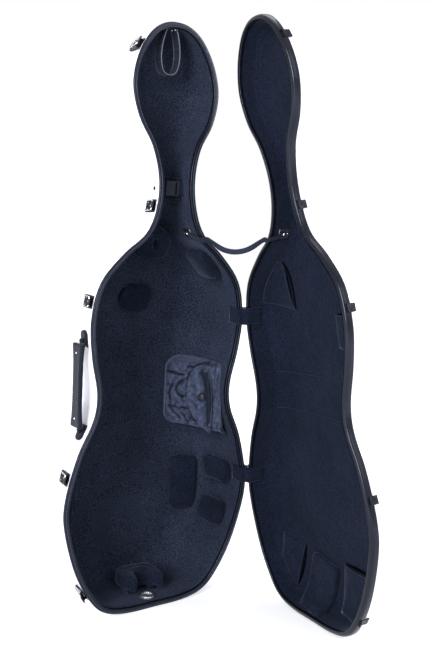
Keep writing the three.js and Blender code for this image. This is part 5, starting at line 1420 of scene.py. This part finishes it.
bag = piece_of(loft(rows, POUCH, round_ring=False), "pouch_bag_nylon", nylon)
# Painted shade: the bag darkens in its creases and over the mouth behind the flap.
keep_folds(bag, lambda x, y: max(near_mouth(x, y), fold_depth(bag_lines, x, y, CREASE_WIDTH)))
thicken(bag, NYLON_THICK)
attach(bag, "case_base")
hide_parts("pouch_bag")
WELT_SPACING = 0.003
POUCH_PIPING = 0.0017
PIPING_UP = 0.0012
RIGHT_WELT = 0.0019
RIGHT_WELT_UP = 0.001
welt = [r[0] for r in rows[-3::-1]] + rows[0][1:-1] + [r[-1] for r in rows[:-2]]
spaced = [welt[0]]
for p in welt[1:]:
    if (p - spaced[-1]).length > WELT_SPACING:
        spaced.append(p)
path = [POUCH @ (p + Vector((0, 0, -PIPING_UP))) for p in spaced]
piping = tube("pouch_piping", path, POUCH_PIPING, nylon, "case_base")
path = [POUCH @ (p + Vector((0, 0, -RIGHT_WELT_UP))) for p in rows[-2][2:-2]]
edge_tube = tube("pouch_right_welt", path, RIGHT_WELT, nylon, "case_base")

# Pouch flap: one panel of the same nylon sewn on at the side, its free edge piped and held by a snap.
# Drawn down by the snap, it folds in a deep valley.
FLAP_HALF = 0.080
FLAP_REACH = 0.068
FLAP_AWAY = 0.0015
FLAP_THICK = 0.0014
FLAP_COLUMNS = 44
FLAP_ROWS = 24
FLAP_DEEP = 0.0150
FLAP_STAND_OFF = 0.0065
FLAP_WRINKLE = 0.0010
LOWER_SHARE = 0.55
SNAP = 0.0100
SNAP_SUNK = 0.0036
SNAP_FROM = (0.029, 0.002, -0.05)
HEM_UP = 0.0005


def bezier(a, b, c, d, t):
    """A point on a cubic curve through a and d."""
    s = 1 - t
    return a * s**3 + b * (3 * s * s * t) + c * (3 * s * t * t) + d * t**3


flap_lines = fold_lines(flap_creases)
lower_curve = [(0.0, -1.0), (0.5, -0.82), (1.0, -0.4), (1.0, 0.15)]
upper_curve = [(1.0, 0.15), (1.0, 0.6), (0.82, 1.0), (0.36, 1.0)]
lower_curve = [Vector((x * FLAP_REACH, y * FLAP_HALF)) for x, y in lower_curve]
upper_curve = [Vector((x * FLAP_REACH, y * FLAP_HALF)) for x, y in upper_curve]
rim_line = []
for t in (k / FLAP_COLUMNS for k in range(FLAP_COLUMNS + 1)):
    if t < LOWER_SHARE:
        rim_line.append(bezier(*lower_curve, t / LOWER_SHARE))
    else:
        rim_line.append(bezier(*upper_curve, (t - LOWER_SHARE) / (1 - LOWER_SHARE)))
rows = []
for j in range(FLAP_ROWS + 1):
    s = j / FLAP_ROWS
    row = []
    for k, end in enumerate(rim_line):
        foot = Vector((0, -FLAP_HALF + 2 * FLAP_HALF * k / FLAP_COLUMNS))
        p = foot.lerp(end, s)
        inside = math.sin(math.pi * min(1, s * 1.04)) ** 0.7 * math.sin(math.pi * k / FLAP_COLUMNS) ** 0.5
        deep = FLAP_DEEP * fold_depth(flap_lines, p.x, p.y, FLAP_FOLD) * inside
        wrinkle = noise(Vector((p.x * 45, p.y * 40, 5.0))) + 0.5 * noise(Vector((p.x * 110, p.y * 90, 7.0)))
        lift = FLAP_AWAY + FLAP_STAND_OFF * s * s + FLAP_WRINKLE * wrinkle * inside
        row.append(Vector((p.x, p.y, deep - lift)))
    rows.append(row)
flap = piece_of(loft(rows, POUCH, round_ring=False), "pouch_flap_nylon", nylon)
# Painted shade: the flap darkens along its fold.
keep_folds(flap, lambda x, y: fold_depth(flap_lines, x, y, FLAP_FOLD))
thicken(flap, FLAP_THICK)
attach(flap, "flap")
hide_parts("pouch_flap")
hem = [POUCH @ (p + Vector((0, 0, -HEM_UP))) for p in rows[-1]]
piping = tube("pouch_flap_piping", hem, POUCH_PIPING, nylon, "flap")
snap_at, _, _, _ = surface_of(flap).ray_cast(POUCH @ Vector(SNAP_FROM), pouch_in)
bm = bmesh.new()
add_dome(bm, facing(snap_at - pouch_in * SNAP_SUNK, -pouch_in), (SNAP, SNAP, SNAP * 0.42), 24, 12)
snap = piece_of(bm, "pouch_snap", acetal)
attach(snap, "flap")

# Lid pockets: flat pockets of the lining's velour sewn to it on three sides, the mouth edge bound with
# elastic that stands a little open.
POCKET_CLOTH = 0.0016
POCKET_SEWN = 0.0012
POCKET_PUCKER = 0.0007
POCKET_ELASTIC = 0.0017
POCKET_PIPING = 0.0013
POCKET_ROWS = 12
POCKET_COLUMNS = 26
POCKET_EDGE_STEPS = 30
OFF_WALLS = 0.0150
RAY_BEHIND = 0.010


def on_lid(x, z, lift):
    """A point of the lid's lining under (x, z) of the lid, kept off its walls, lifted."""
    most = station(z, x > 0, OFF_WALLS)[0].x
    x = min(x, most) if x > 0 else max(x, most)
    return on_lining("lid", Vector((x, parting(z) - RAY_BEHIND, z)), (0, -1, 0), lift)[0]


def along_line(points, t):
    """The point at a share of a polyline's length."""
    lengths = [(b - a).length for a, b in zip(points, points[1:])]
    left = t * sum(lengths)
    for a, b, length in zip(points, points[1:], lengths):
        if left <= length:
            return a.lerp(b, left / length)
        left -= length
    return points[-1].copy()


# A near-black strip laid on the lining beside each mouth: a painted shadow, where the mouth's lifted edge
# shades the lining.
MOUTH_SHADOW_WIDTH = 0.007
SHADOW_STRIP_LIFT = 0.0008
shadow_cloth, shader = new_finish("painted_mouth_shadow", "#8C9DC8", Roughness=0.95, Specular_IOR_Level=0.05)
paint(shader, pattern(shader, "TexNoise", Scale=500.0, Detail=2.0), (0.4, "#020305"), (0.7, "#06070B"))

# Sewn edge from one end of the mouth round to the other, in shares of half-width and length; how far
# the mouth stands open in metres
lid_pockets = {
    "lid_pocket_upper": (
        [(0.484, 0.61), (0.656, 0.6015), (0.8, 0.579), (0.8, 0.5375), (0.377, 0.524)], 0.0115,
    ),
    "lid_pocket_hinge": (
        [(0.41, 0.1045), (0.74, 0.1125), (0.72, 0.07), (0.60, 0.041), (0.49, 0.0265)], 0.0075,
    ),
    "lid_pocket_latch": (
        [(-0.213, 0.1015), (-0.213, 0.0197), (-0.45, 0.0167), (-0.7, 0.045), (-0.7, 0.1)], 0.0115,
    ),
    "lid_pocket_small": (
        [(-0.25, 0.521), (-0.28, 0.468), (-0.5, 0.46), (-0.66, 0.47), (-0.64, 0.521)], 0.006,
    ),
}
for name, (shares, stand_off) in lid_pockets.items():
    sewn = [Vector((u * BOUT_HALF, v * LENGTH)) for u, v in shares]
    mouth = [sewn[0], sewn[-1]]
    rows = []
    for s in (j / POCKET_ROWS for j in range(POCKET_ROWS + 1)):
        row = []
        for t in (k / POCKET_COLUMNS for k in range(POCKET_COLUMNS + 1)):
            flat = along_line(sewn, t).lerp(along_line(mouth, t), s)
            belly = math.sin(math.pi * t) ** 0.6 * math.sin(math.pi / 2 * s) ** 0.8
            pucker = POCKET_PUCKER * noise(Vector((flat.x * 60, flat.y * 60, 1.0)))
            lift = POCKET_SEWN + (stand_off - POCKET_SEWN) * belly + pucker * belly
            row.append(on_lid(flat.x, flat.y, lift))
        rows.append(row)
    panel = piece_of(loft(rows, Matrix(), round_ring=False), name + "_panel", velour)
    thicken(panel, POCKET_CLOTH)
    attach(panel, "lid")
    if name in nodes:
        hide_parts(name)
    low, high = min(p.y for p in sewn), max(p.y for p in sewn)
    left, right = min(p.x for p in sewn), max(p.x for p in sewn)
    elastic = tube(name + "_elastic", rows[-1], POCKET_ELASTIC, tape, "lid")
    run = mouth[1] - mouth[0]
    beyond = Vector((-run.y, run.x)).normalized()
    if beyond.dot(mouth[0] - sewn[2]) < 0:
        beyond.negate()
    # The painted shadow beside each mouth: a strip of near-black cloth on the lining.
    rows = []
    for t in (k / POCKET_COLUMNS for k in range(POCKET_COLUMNS + 1)):
        edge = mouth[0].lerp(mouth[1], t)
        wide = beyond * (MOUTH_SHADOW_WIDTH * math.sin(math.pi * t) ** 0.4)
        rows.append([on_lid(p.x, p.y, SHADOW_STRIP_LIFT) for p in (edge, edge + wide)])
    shadow_strip = piece_of(loft(rows, Matrix(), round_ring=False), name + "_painted_shadow", shadow_cloth)
    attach(shadow_strip, "lid")
    spots = (along_line(sewn, k / POCKET_EDGE_STEPS) for k in range(POCKET_EDGE_STEPS + 1))
    welt = [on_lid(p.x, p.y, POCKET_SEWN) for p in spots]
    piping = tube(name + "_piping", welt, POCKET_PIPING, tape, "lid")

# Lid pad: a thin foam cushion in velour on the lid's floor that the cello's lower bout closes against.
cushion = recast("lid_pad_cushion", "lid_pad", 0.003, 4, pad_velour, tucks=0.0005)
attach(cushion, "lid")
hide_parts("lid_pad")

# The neck strap's rivet on the outer wall of the base, a domed head on a washer.
NECK_RIVET_BACK = 0.024
NECK_RIVET = (0.0034, 0.0034, 0.002)
WASHER_FOOT, WASHER_TOP, WASHER_HIGH = 0.0046, 0.0042, 0.0012
hit, normal = wall_hit(shells["base"], wall_frame("base", CRADLE_Z, False), NECK_RIVET_BACK, 0)
spot = facing(hit, normal)
bm = bmesh.new()
bmesh.ops.create_cone(
    bm, cap_ends=True, segments=24, radius1=WASHER_FOOT, radius2=WASHER_TOP, depth=WASHER_HIGH, matrix=spot,
)
add_dome(bm, spot, NECK_RIVET, 16, 8)
rivet = piece_of(bm, "neck_strap_rivet", gunmetal)
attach(rivet, "case_base")
